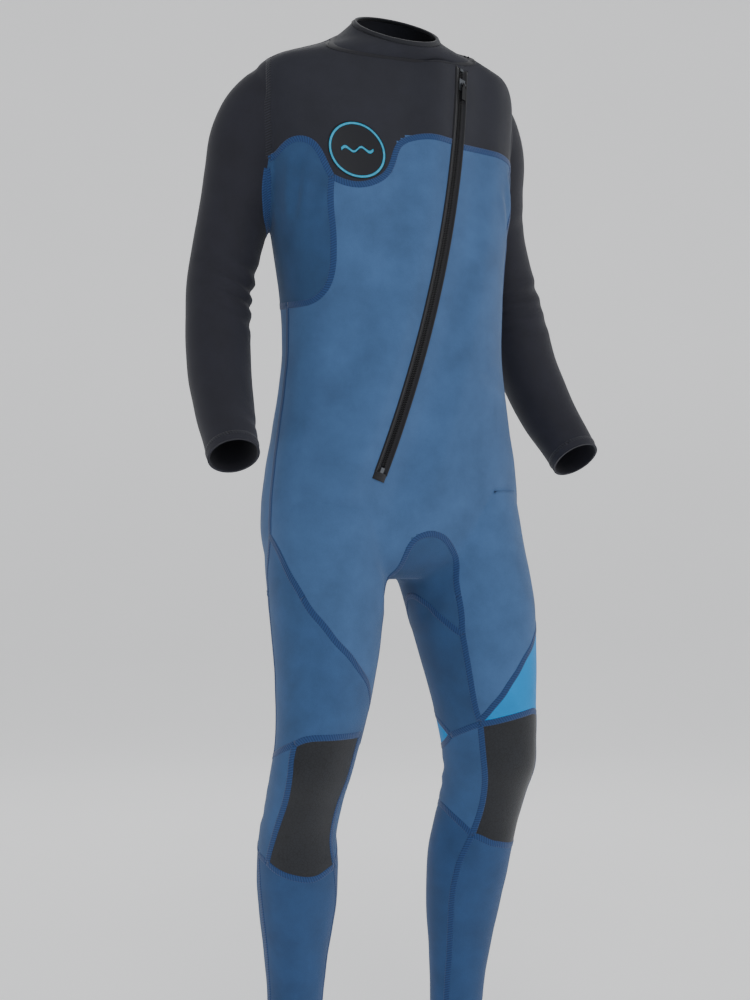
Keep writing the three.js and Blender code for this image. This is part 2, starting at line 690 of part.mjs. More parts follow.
// Side panels: a deep U on each side.
cut(torso, [
  [-133, -182],
  [-135.5, -196],
  [-137, -221],
  [-138, -263],
  [-141, -314],
  [-147, -338],
  [-156, -350],
  [-168, -353],
  [-184, -354],
  [-204, -350],
  [-217, -335],
  [-224, -308],
  [-226, -263],
  [-228, -200],
  [-228, -145],
]);
cut(torso, [
  [-26, -142],
  [-26, -180],
  [-26, -230],
  [-26, -290],
  [-22, -330],
  [-12, -348],
  [2, -354],
  [22, -350],
  [37, -335],
  [44, -308],
  [46, -263],
  [48, -200],
  [48, -145],
]);
// Shoulder seams.
cuts.push(boxBetween(vec(-260, 12, -70), vec(260, 12 + SEAM_GAP, 80)));
// The two front yokes part above the zip.
cuts.push(zipBox(zipStart - 0.09, zipStart + 0.002, -SEAM_GAP / 2, SEAM_GAP / 2, -60, 40, 4));

// Inner leg seams, from the knee up one leg, over the crotch gusset's arch and down the other.
const INNER_FRONT = {
  left: [
    [-88, -918],
    [-90, -879],
    [-90, -826],
    [-89, -785],
    [-86, -735],
    [-85, -712],
  ],
  right: [
    [-112, -930],
    [-112, -879],
    [-112, -826],
    [-111, -785],
    [-108, -735],
    [-106, -712],
  ],
};
const innerBack = (end) => [
  [182, end],
  [182, -860],
  [182, -800],
  [182, -735],
  [178, -716],
];
cuts.push(seamCut([
  ...seam(legs.left, INNER_FRONT.left),
  ...seam(torso, [
    [-76, -680],
    [-81, -662],
    [-88, -652],
    [-94, -660],
    [-97, -676],
  ]),
  ...seam(legs.right, INNER_FRONT.right.toReversed()),
], 45, 12));
cuts.push(seamCut([
  ...seam(legs.left, innerBack(-905)),
  ...seam(torso, [
    [77, -692],
    [83, -674],
    [90, -667],
    [97, -674],
    [103, -692],
  ]),
  ...seam(legs.right, innerBack(-956).toReversed()),
], 45, 20));

const KNEE = {
  right: {
    innerSeam: -112,
    above: [
      [-100, -924],
      [-81, -920],
      [-32, -919],
      [3, -924],
      [19, -933],
      [54, -949],
      [90, -956],
      [135, -958],
      [180, -957],
      [212, -952],
      [236, -940],
    ],
    below: [
      [-100, -1084],
      [-85, -1097],
      [-50, -1113],
      [-23, -1114],
      [8, -1105],
      [32, -1092],
      [60, -1078],
      [90, -1066],
      [135, -1050],
      [180, -1042],
      [211, -1046],
      [240, -1066],
    ],
    padTop: -924,
  },
  left: {
    innerSeam: -90,
    above: [
      [-100, -921],
      [-94, -918],
      [-54, -908],
      [-11, -899],
      [20, -910],
      [54, -930],
      [90, -945],
      [135, -955],
      [180, -955],
      [212, -949],
      [236, -933],
    ],
    below: [
      [-83, -1072],
      [-54, -1086],
      [-19, -1093],
      [8, -1093],
      [32, -1085],
      [60, -1072],
      [90, -1060],
      [135, -1045],
      [180, -1036],
      [211, -1034],
      [240, -1046],
    ],
    padTop: -905,
  },
};
// A seam right round a leg.
const ring = (limb, rows) => cuts.push(seamRing(seam(limb, rows)));
for (const [name] of SIDES) {
  const limb = legs[name];
  const knee = KNEE[name];
  const inner = knee.innerSeam;
  ring(limb, knee.above);
  ring(limb, knee.below);
  // The crotch gusset's lower edge on the inner leg.
  cut(limb, [
    [inner + 2, -797],
    [inner - 16, -776],
    [inner < -100 ? -130 : -120, -750],
    [-137, -736],
    [-150, -748],
    [-164, -772],
    [-179, -797],
  ], 12, 8);
  // Side seam from the side panel down the hip and the outside of the thigh.
  const hip = name === "right" ? -180 : 0;
  const hipRows = [-348, -430, -520, -600].map((u) => [hip, u]);
  const thighRows = [
    [48, -669],
    [56, -711],
  ];
  if (name === "right") thighRows.push([60, -780], [62, -850], [62, -952]);
  else thighRows.push([58, -764]);
  cuts.push(seamCut([...seam(torso, hipRows), ...seam(limb, thighRows)]));
  // Seat seam.
  cut(limb, [
    [50, -735],
    [90, -738],
    [135, -742],
    [186, -735],
  ]);
  // Knee pad: its outer edge, then its inner edge with the calf's inner seam below it.
  cut(limb, [
    [13, knee.padTop - 4],
    [17, -950],
    [8, -973],
    [11, -1011],
    [19, -1055],
    [30, name === "right" ? -1096 : -1089],
  ]);
  const padFoot = name === "right" ? -1098 : -1076;
  cut(limb, [
    [-86, -919],
    [-87, -953],
    [-82, -994],
    [-77, -1033],
    [-80, padFoot],
    [-92, padFoot - 40],
    [-97, -1171],
    [-98, -1269],
    [-98, -1340],
    [-98, -1430],
  ]);
  // The calf's outer seam.
  cut(limb, [
    [58, name === "right" ? -1072 : -1066],
    [47, -1141],
    [47, -1244],
    [47, -1330],
    [47, -1430],
  ]);
}
// Diagonal seam over the right thigh.
cut(legs.right, [
  [52, -650],
  [39, -669],
  [18, -711],
  [-2, -755],
  [-28, -796],
  [-55, -830],
  [-89, -867],
  [-115, -898],
]);
// Upper edge of the coloured wedge that wraps the left thigh above the knee.
cut(legs.left, [
  [-86, -912],
  [-68, -889],
  [-50, -862],
  [-29, -828],
  [-2, -795],
  [25, -772],
  [50, -764],
  [84, -788],
  [112, -835],
  [140, -878],
  [170, -900],
  [200, -911],
  [222, -924],
  [234, -936],
]);

let panels = trunk;
for (const made of cuts) panels = panels.subtract(made);
// Ankle hems.
const hemAt = level(-1418) + ANKLE_HEM;
panels = panels.subtract(boxBetween(vec(-320, -140, hemAt), vec(320, 180, hemAt + SEAM_GAP)));

const half = NEOPRENE / 2;
const legLabels = (name, limb) => [
  [`inner_thigh_${name}`, "panel", limb.at(-137, -850, half)],
  [`thigh_back_${name}`, "blue", limb.at(110, -770, half)],
  [`knee_pad_${name}`, "pad", limb.at(-35, -1000, half)],
  [`knee_back_${name}`, "panel", limb.at(120, -1000, half)],
  [`calf_front_${name}`, "panel", limb.at(-30, -1180, half)],
  [`calf_back_${name}`, "panel", limb.at(130, -1180, half)],
  [`ankle_cuff_${name}_front`, "panel", limb.at(-30, -1407, half)],
  [`ankle_cuff_${name}_back`, "panel", limb.at(130, -1407, half)],
];
share(panels, [
  ["yoke_front_right", "black", torso.at(-120, -110, half)],
  ["yoke_front_left", "black", torso.at(-50, -100, half)],
  ["yoke_back", "black", torso.at(90, -100, half)],
  ["front_body", "blue", torso.at(-110, -300, half)],
  ["back_body", "blue", torso.at(90, -400, half)],
  ["side_panel_right", "panel", torso.at(-165, -280, half)],
  ["side_panel_left", "panel", torso.at(0, -280, half)],
  ["crotch_gusset", "panel", torso.at(-90, -680, half)],
  ["thigh_front_right", "blue", legs.right.at(0, -860, half)],
  ["accent_wedge_left", "cyan", legs.left.at(10, -860, half)],
  ...legLabels("right", legs.right),
  ...legLabels("left", legs.left),
]);

// ---- Badge on the right chest: a disc, a ring and a plain wave ----
const badgeSpot = { degrees: -118, u: -150 };
const badgeUp = torso
  .at(badgeSpot.degrees, badgeSpot.u + 1)
  .sub(torso.at(badgeSpot.degrees, badgeSpot.u - 1))
  .normalize();
const badgeOut = stop(torso, badgeSpot.degrees, badgeSpot.u).out.clone();
badgeOut.addScaledVector(badgeUp, -badgeOut.dot(badgeUp)).normalize();
const badgeAside = badgeUp.clone().cross(badgeOut).normalize();
const badgeCentre = torso.at(badgeSpot.degrees, badgeSpot.u);
// Height of the chest over the badge's flat plane, at a place on that plane.
function chestHeight(x, y) {
  let { degrees, u } = badgeSpot;
  const from = (turn, climb) => {
    const p = torso.at(degrees + turn, u + climb).sub(badgeCentre);
    return [p.dot(badgeAside) - x, p.dot(badgeUp) - y, p.dot(badgeOut)];
  };
  for (let i = 0; i < 8; i += 1) {
    const [across, along] = from(0, 0);
    const [acrossTurn, alongTurn] = from(1, 0);
    const [acrossClimb, alongClimb] = from(0, 1);
    const [a, b] = [acrossTurn - across, acrossClimb - across];
    const [c, d] = [alongTurn - along, alongClimb - along];
    const size = a * d - b * c;
    degrees -= (across * d - b * along) / size;
    u -= (a * along - across * c) / size;
  }
  return from(0, 0)[2];
}
function onBadge(x, y, h) {
  const p = badgeCentre.clone().addScaledVector(badgeAside, x).addScaledVector(badgeUp, y);
  return p.addScaledVector(badgeOut, h + BADGE_LIFT + chestHeight(x, y));
}
function badgePart(geometry) {
  const position = geometry.attributes.position;
  for (let i = 0; i < position.count; i += 1) {
    const p = onBadge(position.getX(i), position.getY(i), position.getZ(i));
    position.setXYZ(i, p.x, p.y, p.z);
  }
  return solid(geometry);
}
const badgeRadius = BADGE_DIAMETER / 2;
const discProfile = [0, 0.5, 1].map((f) => new THREE.Vector2(f * badgeRadius, 0));
const discTop = [1, 0.5, 0].map((f) => new THREE.Vector2(f * badgeRadius, BADGE_THICK));
const disc = new THREE.LatheGeometry([...discProfile, ...discTop], 30).rotateX(Math.PI / 2);
put("badge_disc", badgePart(disc), "black");
const ringProfile = [
  [badgeRadius - 4.4, BADGE_THICK + FIT_GAP],
  [badgeRadius - 1.6, BADGE_THICK + FIT_GAP],
  [badgeRadius - 1.6, BADGE_THICK + FIT_GAP + 0.5],
  [badgeRadius - 4.4, BADGE_THICK + FIT_GAP + 0.5],
  [badgeRadius - 4.4, BADGE_THICK + FIT_GAP],
].map(([r, h]) => new THREE.Vector2(r, h));
put("badge_ring", badgePart(new THREE.LatheGeometry(ringProfile, 32).rotateX(Math.PI / 2)), "cyan");
// A plain double-crested wave.
const waveHalf = badgeRadius * 0.55;
const wave = new THREE.Shape();
const crest = (t) => 3.2 * Math.sin(t * Math.PI * 4);
const WAVE_STEPS = 16;
for (let i = 0; i <= WAVE_STEPS; i += 1) {
  const x = -waveHalf + (2 * waveHalf * i) / WAVE_STEPS;
  if (i === 0) wave.moveTo(x, crest(0) + 2);
  else wave.lineTo(x, crest(i / WAVE_STEPS) + 2);
}
for (let i = WAVE_STEPS; i >= 0; i -= 1) {
  const x = -waveHalf + (2 * waveHalf * i) / WAVE_STEPS;
  wave.lineTo(x, crest(i / WAVE_STEPS) - 1);
}
const waveSolid = new THREE.ExtrudeGeometry(wave, { depth: 0.5, bevelEnabled: false, steps: 1 });
waveSolid.translate(0, 0, BADGE_THICK + FIT_GAP);
put("badge_wave", badgePart(waveSolid), "cyan");

export default group;
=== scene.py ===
"""Looks of the full wetsuit: knitted neoprene panels, flatlock seams, front zip, collar, hems and badge.

Lengths are in millimetres while a shape is worked out and in metres once it is a mesh. +Z is up, the
front faces -Y and the wearer's left is +X. The origin is in the middle of the neck opening.
"""

from __future__ import annotations

import json
import logging
import math
from collections import defaultdict
from collections.abc import Callable, Sequence
from dataclasses import dataclass, field
from enum import Enum

import bmesh
import bpy
import numpy as np
from mathutils import Euler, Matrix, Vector, noise
from mathutils.bvhtree import BVHTree
from mathutils.kdtree import KDTree

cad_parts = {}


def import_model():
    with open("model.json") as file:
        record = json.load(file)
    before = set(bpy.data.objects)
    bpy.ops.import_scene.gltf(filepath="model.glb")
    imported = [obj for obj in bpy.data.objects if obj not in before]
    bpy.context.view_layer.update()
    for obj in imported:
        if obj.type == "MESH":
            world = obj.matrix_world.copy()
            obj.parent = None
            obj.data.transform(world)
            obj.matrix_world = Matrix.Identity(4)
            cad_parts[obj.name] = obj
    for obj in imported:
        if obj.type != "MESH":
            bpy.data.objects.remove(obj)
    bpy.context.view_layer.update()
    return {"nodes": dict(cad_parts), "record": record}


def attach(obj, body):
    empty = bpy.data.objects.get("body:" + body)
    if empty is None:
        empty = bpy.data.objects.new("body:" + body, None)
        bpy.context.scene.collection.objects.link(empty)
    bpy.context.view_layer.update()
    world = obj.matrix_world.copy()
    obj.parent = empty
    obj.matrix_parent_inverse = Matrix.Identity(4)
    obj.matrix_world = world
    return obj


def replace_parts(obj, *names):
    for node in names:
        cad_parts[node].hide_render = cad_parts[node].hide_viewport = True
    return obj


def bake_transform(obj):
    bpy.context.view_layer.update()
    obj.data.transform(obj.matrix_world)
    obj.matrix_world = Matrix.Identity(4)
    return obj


LOG = logging.getLogger("wetsuit")
MM = 0.001
Array = np.ndarray
Colour = tuple[float, float, float]


class Side(Enum):
    """The wearer's two sides, with the sign of X on each."""

    RIGHT = -1
    LEFT = 1

    @property
    def word(self) -> str:
        """The side's name as the pieces are called."""
        return self.name.lower()


def srgb(red: int, green: int, blue: int) -> Colour:
    """Linear colour of three display values.

    Args:
        red: Display value from 0 to 255.
        green: Display value from 0 to 255.
        blue: Display value from 0 to 255.

    Returns:
        The colour as the shader takes it.
    """
    values = [v / 255 for v in (red, green, blue)]
    linear = [v / 12.92 if v <= 0.04045 else ((v + 0.055) / 1.055) ** 2.4 for v in values]
    return (linear[0], linear[1], linear[2])


def smooth(start: float, end: float, value: Array) -> Array:
    """Smooth step from 0 at start to 1 at end."""
    t = np.clip((np.asarray(value, float) - start) / (end - start), 0, 1)
    return t * t * (3 - 2 * t)


def unit(vectors: Array) -> Array:
    """The vectors at length one."""
    return vectors / np.maximum(np.linalg.norm(vectors, axis=-1, keepdims=True), 1e-12)


# ---- Finishes ----


@dataclass(frozen=True)
class Knit:
    """Knitted lining laminated on neoprene foam, with its mottled yarn and fine ribs."""

    name: str
    base: Colour
    rib: float = 900.0
    grain: float = 1500.0
    mottle: float = 0.16
    roughness: float = 0.78
    sheen: float = 0.1
    bump: float = 0.25

    def material(self) -> bpy.types.Material:
        """The knit as a node material, made once."""
        found = bpy.data.materials.get(self.name)
        if found:
            return found
        paint = Paint(self.name)
        place = paint.node("ShaderNodeTexCoord").outputs["Object"]
        cloud = paint.texture("ShaderNodeTexNoise", place, Scale=22.0, Detail=4.0, Roughness=0.6)
        yarn = paint.texture("ShaderNodeTexNoise", place, Scale=self.grain, Detail=2.0, Roughness=0.7)
        ribs = paint.texture("ShaderNodeTexWave", place, Scale=self.rib, Distortion=1.2, Detail=1.0)
        dark = tuple(c * (1 - self.mottle) for c in self.base)
        light = tuple(min(1.0, c * (1 + self.mottle) + 0.002) for c in self.base)
        wide = paint.mix(cloud, dark, light)
        fine = paint.ramp(yarn, (0.35, 0.62, 0.62, 0.62), (0.7, 1.0, 1.0, 1.0))
        colour = paint.multiply(wide, fine, 0.45)
        rough = paint.range(cloud, self.roughness - 0.07, self.roughness + 0.07)
        height = paint.add(yarn, ribs, 0.5)
        paint.finish(colour, rough, paint.bump(height, self.bump, 0.0004), sheen=self.sheen)
        return paint.material


@dataclass(frozen=True)
class Printed:
    """Rubber printed on the knit in a close pattern of cells, on the knee pads."""

    name: str
    base: Colour
    cells: float = 210.0
    roughness: float = 0.5

    def material(self) -> bpy.types.Material:
        """The printed rubber as a node material, made once."""
        found = bpy.data.materials.get(self.name)
        if found:
            return found
        paint = Paint(self.name)
        place = paint.node("ShaderNodeTexCoord").outputs["Object"]
        cell = paint.node("ShaderNodeTexVoronoi")
        cell.feature = "DISTANCE_TO_EDGE"
        cell.inputs["Scale"].default_value = self.cells
        paint.link(place, cell.inputs["Vector"])
        edge = cell.outputs["Distance"]
        wear = paint.texture("ShaderNodeTexNoise", place, Scale=30.0, Detail=5.0, Roughness=0.6)
        grain = paint.texture("ShaderNodeTexNoise", place, Scale=1400.0, Detail=2.0, Roughness=0.6)
        face = paint.mix(wear, tuple(c * 0.8 for c in self.base), tuple(c * 1.35 for c in self.base))
        groove = paint.ramp(edge, (0.02, 0.5, 0.5, 0.5), (0.1, 1.0, 1.0, 1.0))
        colour = paint.multiply(face, groove, 0.8)
        rough = paint.range(wear, self.roughness - 0.1, self.roughness + 0.14)
        height = paint.add(groove, grain, 0.25)
        paint.finish(colour, rough, paint.bump(height, 0.3, 0.0005), sheen=0.1)
        return paint.material


@dataclass(frozen=True)
class Woven:
    """Tightly woven tape, for the zip's tapes and the bound edges."""

    name: str
    base: Colour
    threads: float = 520.0
    roughness: float = 0.72

    def material(self) -> bpy.types.Material:
        """The woven tape as a node material, made once."""
        found = bpy.data.materials.get(self.name)
        if found:
            return found
        paint = Paint(self.name)
        place = paint.node("ShaderNodeTexCoord").outputs["Object"]
        warp = paint.texture("ShaderNodeTexWave", place, Scale=self.threads, Distortion=0.5)
        weft_node = paint.node("ShaderNodeTexWave")
        weft_node.bands_direction = "Z"
        weft_node.inputs["Scale"].default_value = self.threads
        paint.link(place, weft_node.inputs["Vector"])
        weft = weft_node.outputs["Fac"]
        cloud = paint.texture("ShaderNodeTexNoise", place, Scale=60.0, Detail=3.0)
        weave = paint.add(warp, weft, 0.5)
        face = paint.mix(cloud, tuple(c * 0.8 for c in self.base), tuple(c * 1.3 for c in self.base))
        shade = paint.ramp(weave, (0.2, 0.7, 0.7, 0.7), (0.8, 1.0, 1.0, 1.0))
        rough = paint.range(cloud, self.roughness - 0.06, self.roughness + 0.08)
        paint.finish(paint.multiply(face, shade, 0.7), rough, paint.bump(weave, 0.25, 0.0003), sheen=0.15)
        return paint.material


@dataclass(frozen=True)
class Moulded:
    """Moulded plastic or coated metal with fine scratches."""

    name: str
    base: Colour
    roughness: float = 0.4
    metal: float = 0.0

    def material(self) -> bpy.types.Material:
        """The moulding as a node material, made once."""
        found = bpy.data.materials.get(self.name)
        if found:
            return found
        paint = Paint(self.name)
        place = paint.node("ShaderNodeTexCoord").outputs["Object"]
        cloud = paint.texture("ShaderNodeTexNoise", place, Scale=260.0, Detail=4.0)
        scratch = paint.texture("ShaderNodeTexNoise", place, Scale=2600.0, Detail=2.0)
        face = paint.mix(cloud, tuple(c * 0.85 for c in self.base), tuple(c * 1.2 for c in self.base))
        rough = paint.range(cloud, self.roughness - 0.1, self.roughness + 0.12)
        paint.finish(face, rough, paint.bump(scratch, 0.12, 0.0001), metal=self.metal)
        return paint.material


@dataclass(frozen=True)
class Stitching:
    """Flatlock seam: two rows of slanted thread over the butted edges, drawn along the seam's own UV."""

    name: str
    ground: Colour
    thread: Colour
    pitch: float = 3.2

    def material(self) -> bpy.types.Material:
        """The stitching as a node material, made once."""
        found = bpy.data.materials.get(self.name)
        if found:
            return found
        paint = Paint(self.name)
        uv = paint.node("ShaderNodeUVMap").outputs["UV"]
        turned = paint.node("ShaderNodeMapping")
        turned.inputs["Rotation"].default_value = (0.0, 0.0, math.radians(24))
        paint.link(uv, turned.inputs["Vector"])
        row = paint.texture("ShaderNodeTexWave", turned.outputs["Vector"], Scale=1000 / self.pitch / 3.2)
        place = paint.node("ShaderNodeTexCoord").outputs["Object"]
        fuzz = paint.texture("ShaderNodeTexNoise", place, Scale=900.0, Detail=3.0)
        stitch = paint.ramp(row, (0.35, 0.0, 0.0, 0.0), (0.62, 1.0, 1.0, 1.0))
        colour = paint.blend(stitch, self.ground, self.thread)
        rough = paint.range(fuzz, 0.62, 0.86)
        height = paint.add(stitch, fuzz, 0.2)
        paint.finish(colour, rough, paint.bump(height, 0.5, 0.0006), sheen=0.2)
        return paint.material


Finish = Knit | Printed | Woven | Moulded | Stitching


@dataclass
class Paint:
    """Builds one node material step by step."""

    name: str
    material: bpy.types.Material = field(init=False)

    def __post_init__(self) -> None:
        """Makes the empty material."""
        self.material = bpy.data.materials.new(self.name)
        self.material.use_nodes = True
        self.material.node_tree.nodes.clear()

    def node(self, kind: str) -> bpy.types.Node:
        """A new node of that kind."""
        return self.material.node_tree.nodes.new(kind)

    def link(self, output: bpy.types.NodeSocket, target: bpy.types.NodeSocket) -> None:
        """Joins an output to an input."""
        self.material.node_tree.links.new(output, target)

    def texture(self, kind: str, place: bpy.types.NodeSocket, **values: float) -> bpy.types.NodeSocket:
        """A texture laid out on `place`.

        Args:
            kind: Node type of the texture.
            place: Coordinates that it reads.
            **values: Numbers for its named inputs.

        Returns:
            Its grey value.
        """
        node = self.node(kind)
        for name, value in values.items():
            node.inputs[name].default_value = value
        self.link(place, node.inputs["Vector"])
        return node.outputs["Fac"]

    def blend(self, factor: bpy.types.NodeSocket, first: Colour, second: Colour) -> bpy.types.NodeSocket:
        """Colour from first at factor 0 to second at factor 1."""
        node = self.node("ShaderNodeMix")
        node.data_type = "RGBA"
        self.link(factor, node.inputs[0])
        node.inputs[6].default_value = (*first, 1.0)
        node.inputs[7].default_value = (*second, 1.0)
        return node.outputs[2]

    def mix(self, factor: bpy.types.NodeSocket, dark: Colour, light: Colour) -> bpy.types.NodeSocket:
        """A soft cloud between two near colours."""
        return self.blend(self.range(factor, -0.6, 1.6), dark, light)

    def multiply(
        self, first: bpy.types.NodeSocket, second: bpy.types.NodeSocket, share: float
    ) -> bpy.types.NodeSocket:
        """The first colour times the second, by `share`."""
        node = self.node("ShaderNodeMix")
        node.data_type = "RGBA"
        node.blend_type = "MULTIPLY"
        node.inputs[0].default_value = share
        self.link(first, node.inputs[6])
        self.link(second, node.inputs[7])
        return node.outputs[2]

    def ramp(
        self, value: bpy.types.NodeSocket, low: Sequence[float], high: Sequence[float]
    ) -> bpy.types.NodeSocket:
        """A two-stop ramp; each stop is its position and then its colour."""
        node = self.node("ShaderNodeValToRGB")
        for stop, (position, *colour) in zip(node.color_ramp.elements, (low, high)):
            stop.position = position
            stop.color = (*colour, 1.0)
        self.link(value, node.inputs["Fac"])
        return node.outputs["Color"]

    def range(self, value: bpy.types.NodeSocket, low: float, high: float) -> bpy.types.NodeSocket:
        """The value stretched to low..high."""
        node = self.node("ShaderNodeMapRange")
        node.inputs["To Min"].default_value = low
        node.inputs["To Max"].default_value = high
        self.link(value, node.inputs["Value"])
        return node.outputs["Result"]

    def add(
        self, first: bpy.types.NodeSocket, second: bpy.types.NodeSocket, share: float
    ) -> bpy.types.NodeSocket:
        """First plus `share` of second."""
        node = self.node("ShaderNodeMath")
        node.operation = "MULTIPLY_ADD"
        node.inputs[1].default_value = share
        self.link(second, node.inputs[0])
        self.link(first, node.inputs[2])
        return node.outputs["Value"]

    def bump(self, height: bpy.types.NodeSocket, strength: float, distance: float) -> bpy.types.NodeSocket:
        """A bump from a height, `distance` metres deep."""
        node = self.node("ShaderNodeBump")
        node.inputs["Strength"].default_value = strength
        node.inputs["Distance"].default_value = distance
        self.link(height, node.inputs["Height"])
        return node.outputs["Normal"]

    def finish(
        self,
        colour: bpy.types.NodeSocket,
        rough: bpy.types.NodeSocket,
        normal: bpy.types.NodeSocket,
        sheen: float = 0.0,
        metal: float = 0.0,
    ) -> None:
        """Joins everything to the surface shader.

        Args:
            colour: Base colour.
            rough: Roughness.
            normal: Bumped normal.
            sheen: Soft sheen of fibres, from 0 to 1.
            metal: 1 for metal.
        """
        shader = self.node("ShaderNodeBsdfPrincipled")
        self.link(colour, shader.inputs["Base Color"])
        self.link(rough, shader.inputs["Roughness"])
        self.link(normal, shader.inputs["Normal"])
        shader.inputs["Sheen Weight"].default_value = sheen
        shader.inputs["Sheen Roughness"].default_value = 0.5
        shader.inputs["Metallic"].default_value = metal
        shader.inputs["Specular IOR Level"].default_value = 0.35
        out = self.node("ShaderNodeOutputMaterial")
        self.link(shader.outputs["BSDF"], out.inputs["Surface"])


BLACK = Knit("knit_black", srgb(37, 38, 48))
SLEEVE = Knit("knit_sleeve", srgb(35, 35, 45))
CHEST = Knit("knit_chest_blue", srgb(67, 102, 148))
THIGH = Knit("knit_thigh_blue", srgb(55, 89, 134))
DARK_BLUE = Knit("knit_dark_blue", srgb(46, 78, 120))
CALF = Knit("knit_calf_blue", srgb(44, 77, 122))
SIDE_BLUE = Knit("knit_side_blue", srgb(42, 75, 116))
UNDERARM = Knit("knit_underarm_blue", srgb(51, 88, 133))
CYAN = Knit("knit_cyan", srgb(1, 143, 215), mottle=0.1)
KNEE = Printed("knee_rubber_print", srgb(28, 30, 35))
TAPE = Woven("zip_tape_weave", srgb(22, 22, 27))
BOUND = Woven("bound_edge_weave", srgb(28, 29, 36), threads=700.0)
TEETH = Moulded("zip_teeth_plastic", srgb(17, 17, 20), roughness=0.42)
METAL = Moulded("zip_metal_coat", srgb(96, 99, 104), roughness=0.34, metal=0.8)
PULL = Moulded("zip_pull_plastic", srgb(18, 18, 21), roughness=0.36)
PATCH = Moulded("badge_black_print", srgb(24, 25, 31), roughness=0.62)
PATCH_CYAN = Moulded("badge_cyan_print", srgb(40, 165, 205), roughness=0.55)
SEAM_BLUE = Stitching("seam_blue", srgb(22, 52, 96), srgb(34, 68, 118))
SEAM_BLACK = Stitching("seam_black", srgb(24, 24, 31), srgb(40, 41, 51))


# ---- The suit's form ----


@dataclass(frozen=True)
class Stations:
    """A table of sections, with the column that says where each one is, in falling order."""

    rows: tuple[tuple[float, ...], ...]
    places: tuple[float, ...]

    def at(self, where: Array) -> Array:
        """Every column at `where`, on a smooth curve through the rows."""
        table = np.array(self.rows, float)
        keys = np.array(self.places, float)
        k = np.asarray(where, float)
        i = np.clip(np.searchsorted(-keys, -k, side="right") - 1, 0, len(keys) - 2)
        span = keys[i + 1] - keys[i]
        t = ((k - keys[i]) / span)[..., None]
        low, high = np.maximum(i - 1, 0), np.minimum(i + 2, len(keys) - 1)
        first = (table[i + 1] - table[low]) / (keys[i + 1] - keys[low])[..., None] * span[..., None]
        second = (table[high] - table[i]) / (keys[high] - keys[i])[..., None] * span[..., None]
        v0, v1 = table[i], table[i + 1]
        cubic = (2 * v0 - 2 * v1 + first + second) * t**3
        square = (-3 * v0 + 3 * v1 - 2 * first - second) * t * t
        return cubic + square + first * t + v0


# Level, half width, front, back, middle, squareness.
TORSO_ROWS = (
    (34, 50, -30, 54, 8, 2.1), (18, 78, -38, 64, 10, 2.1), (6, 102, -46, 69, 12, 2.15),
    (-4, 134, -52, 73, 13, 2.2), (-14, 168, -55, 78, 14, 2.25), (-26, 188, -59, 84, 14, 2.3),
    (-48, 196, -64, 92, 12, 2.35), (-75, 194, -70, 101, 8, 2.4), (-100, 189, -77, 107, 5, 2.4),
    (-153, 182, -90, 116, 2, 2.4), (-200, 177, -99, 119, 0, 2.4), (-251, 170, -107, 114, 0, 2.4),
    (-300, 164, -112, 104, 0, 2.35), (-345, 160, -116, 94, 0, 2.3), (-400, 159, -118, 85, 0, 2.25),
    (-440, 162, -118, 83, 0, 2.2), (-480, 168, -117, 88, -2, 2.2), (-520, 175, -115, 97, -4, 2.2),
    (-572, 184, -111, 110, -8, 2.2), (-620, 189, -104, 119, -8, 2.2), (-660, 188, -94, 120, -6, 2.2),
    (-695, 178, -78, 104, -2, 2.1), (-718, 140, -46, 58, 4, 2.0),
)
# Centre x, y, level, half width, half depth, shoulder to wrist.
ARM_ROWS = (
    (120, 22, -62, 46, 46), (160, 38, -82, 56, 54), (182, 50, -122, 60, 56), (190, 60, -175, 58, 55),
    (207, 68, -240, 49, 49), (229, 61, -318, 45, 45), (239, 48, -370, 43.5, 43.5),
    (247, 28, -430, 43, 43), (256, -4, -486, 40, 40), (264, -38, -530, 36, 36),
    (268, -58, -555, 34.5, 34.5),
)
# Centre x, y, level, half size across the outward diagonal, and across the other.
LEG_ROWS = (
    (92, -4, -600, 92, 86), (102, -8, -680, 96, 84), (112, -22, -745, 92, 77), (118, -33, -810, 84, 70),
    (126, -39, -880, 74, 62), (134, -38, -935, 67.5, 55.5), (141, -30, -980, 64, 53.5),
    (142, -13, -1020, 60, 51), (141, 4, -1060, 59, 51.5), (137, 13, -1100, 59, 54.5),
    (134, 19, -1145, 56, 53.5), (132, 25, -1190, 50.5, 48), (130.5, 30, -1240, 43.5, 41.5),
    (129, 36, -1310, 37, 36), (128, 41, -1370, 35.5, 35), (128, 45, -1418, 36.5, 36),
)
TORSO = Stations(TORSO_ROWS, tuple(row[0] for row in TORSO_ROWS))
ARM = Stations(ARM_ROWS, tuple(float(-i) for i in range(len(ARM_ROWS))))
LEG = Stations(LEG_ROWS, tuple(row[2] for row in LEG_ROWS))
CROTCH, ANKLE = -718.0, -1418.0
WRIST = -10.0


def torso_at(degrees: Array, height: Array) -> Array:
    """Points of the torso's outside; 0 degrees is the wearer's left, -90 the front."""
    row = TORSO.at(height)
    c, s = np.cos(np.radians(degrees)), np.sin(np.radians(degrees))
    power = 2 / row[..., 5]
    reach = np.where(s < 0, row[..., 4] - row[..., 2], row[..., 3] - row[..., 4])
    x = row[..., 1] * np.sign(c) * np.abs(c) ** power
    y = row[..., 4] + reach * np.sign(s) * np.abs(s) ** power
    return np.stack([x, y, np.broadcast_to(height, x.shape)], -1)


def leg_at(side: Side, degrees: Array, height: Array) -> Array:
    """Points of a leg's outside; 45 degrees is the outer side, -45 the front."""
    row = LEG.at(height)
    p = row[..., 3] * np.cos(np.radians(degrees)) * math.sqrt(0.5)
    q = row[..., 4] * np.sin(np.radians(degrees)) * math.sqrt(0.5)
    x = side.value * (row[..., 0] + p + q)
    return np.stack([x, row[..., 1] + q - p, np.broadcast_to(height, x.shape)], -1)


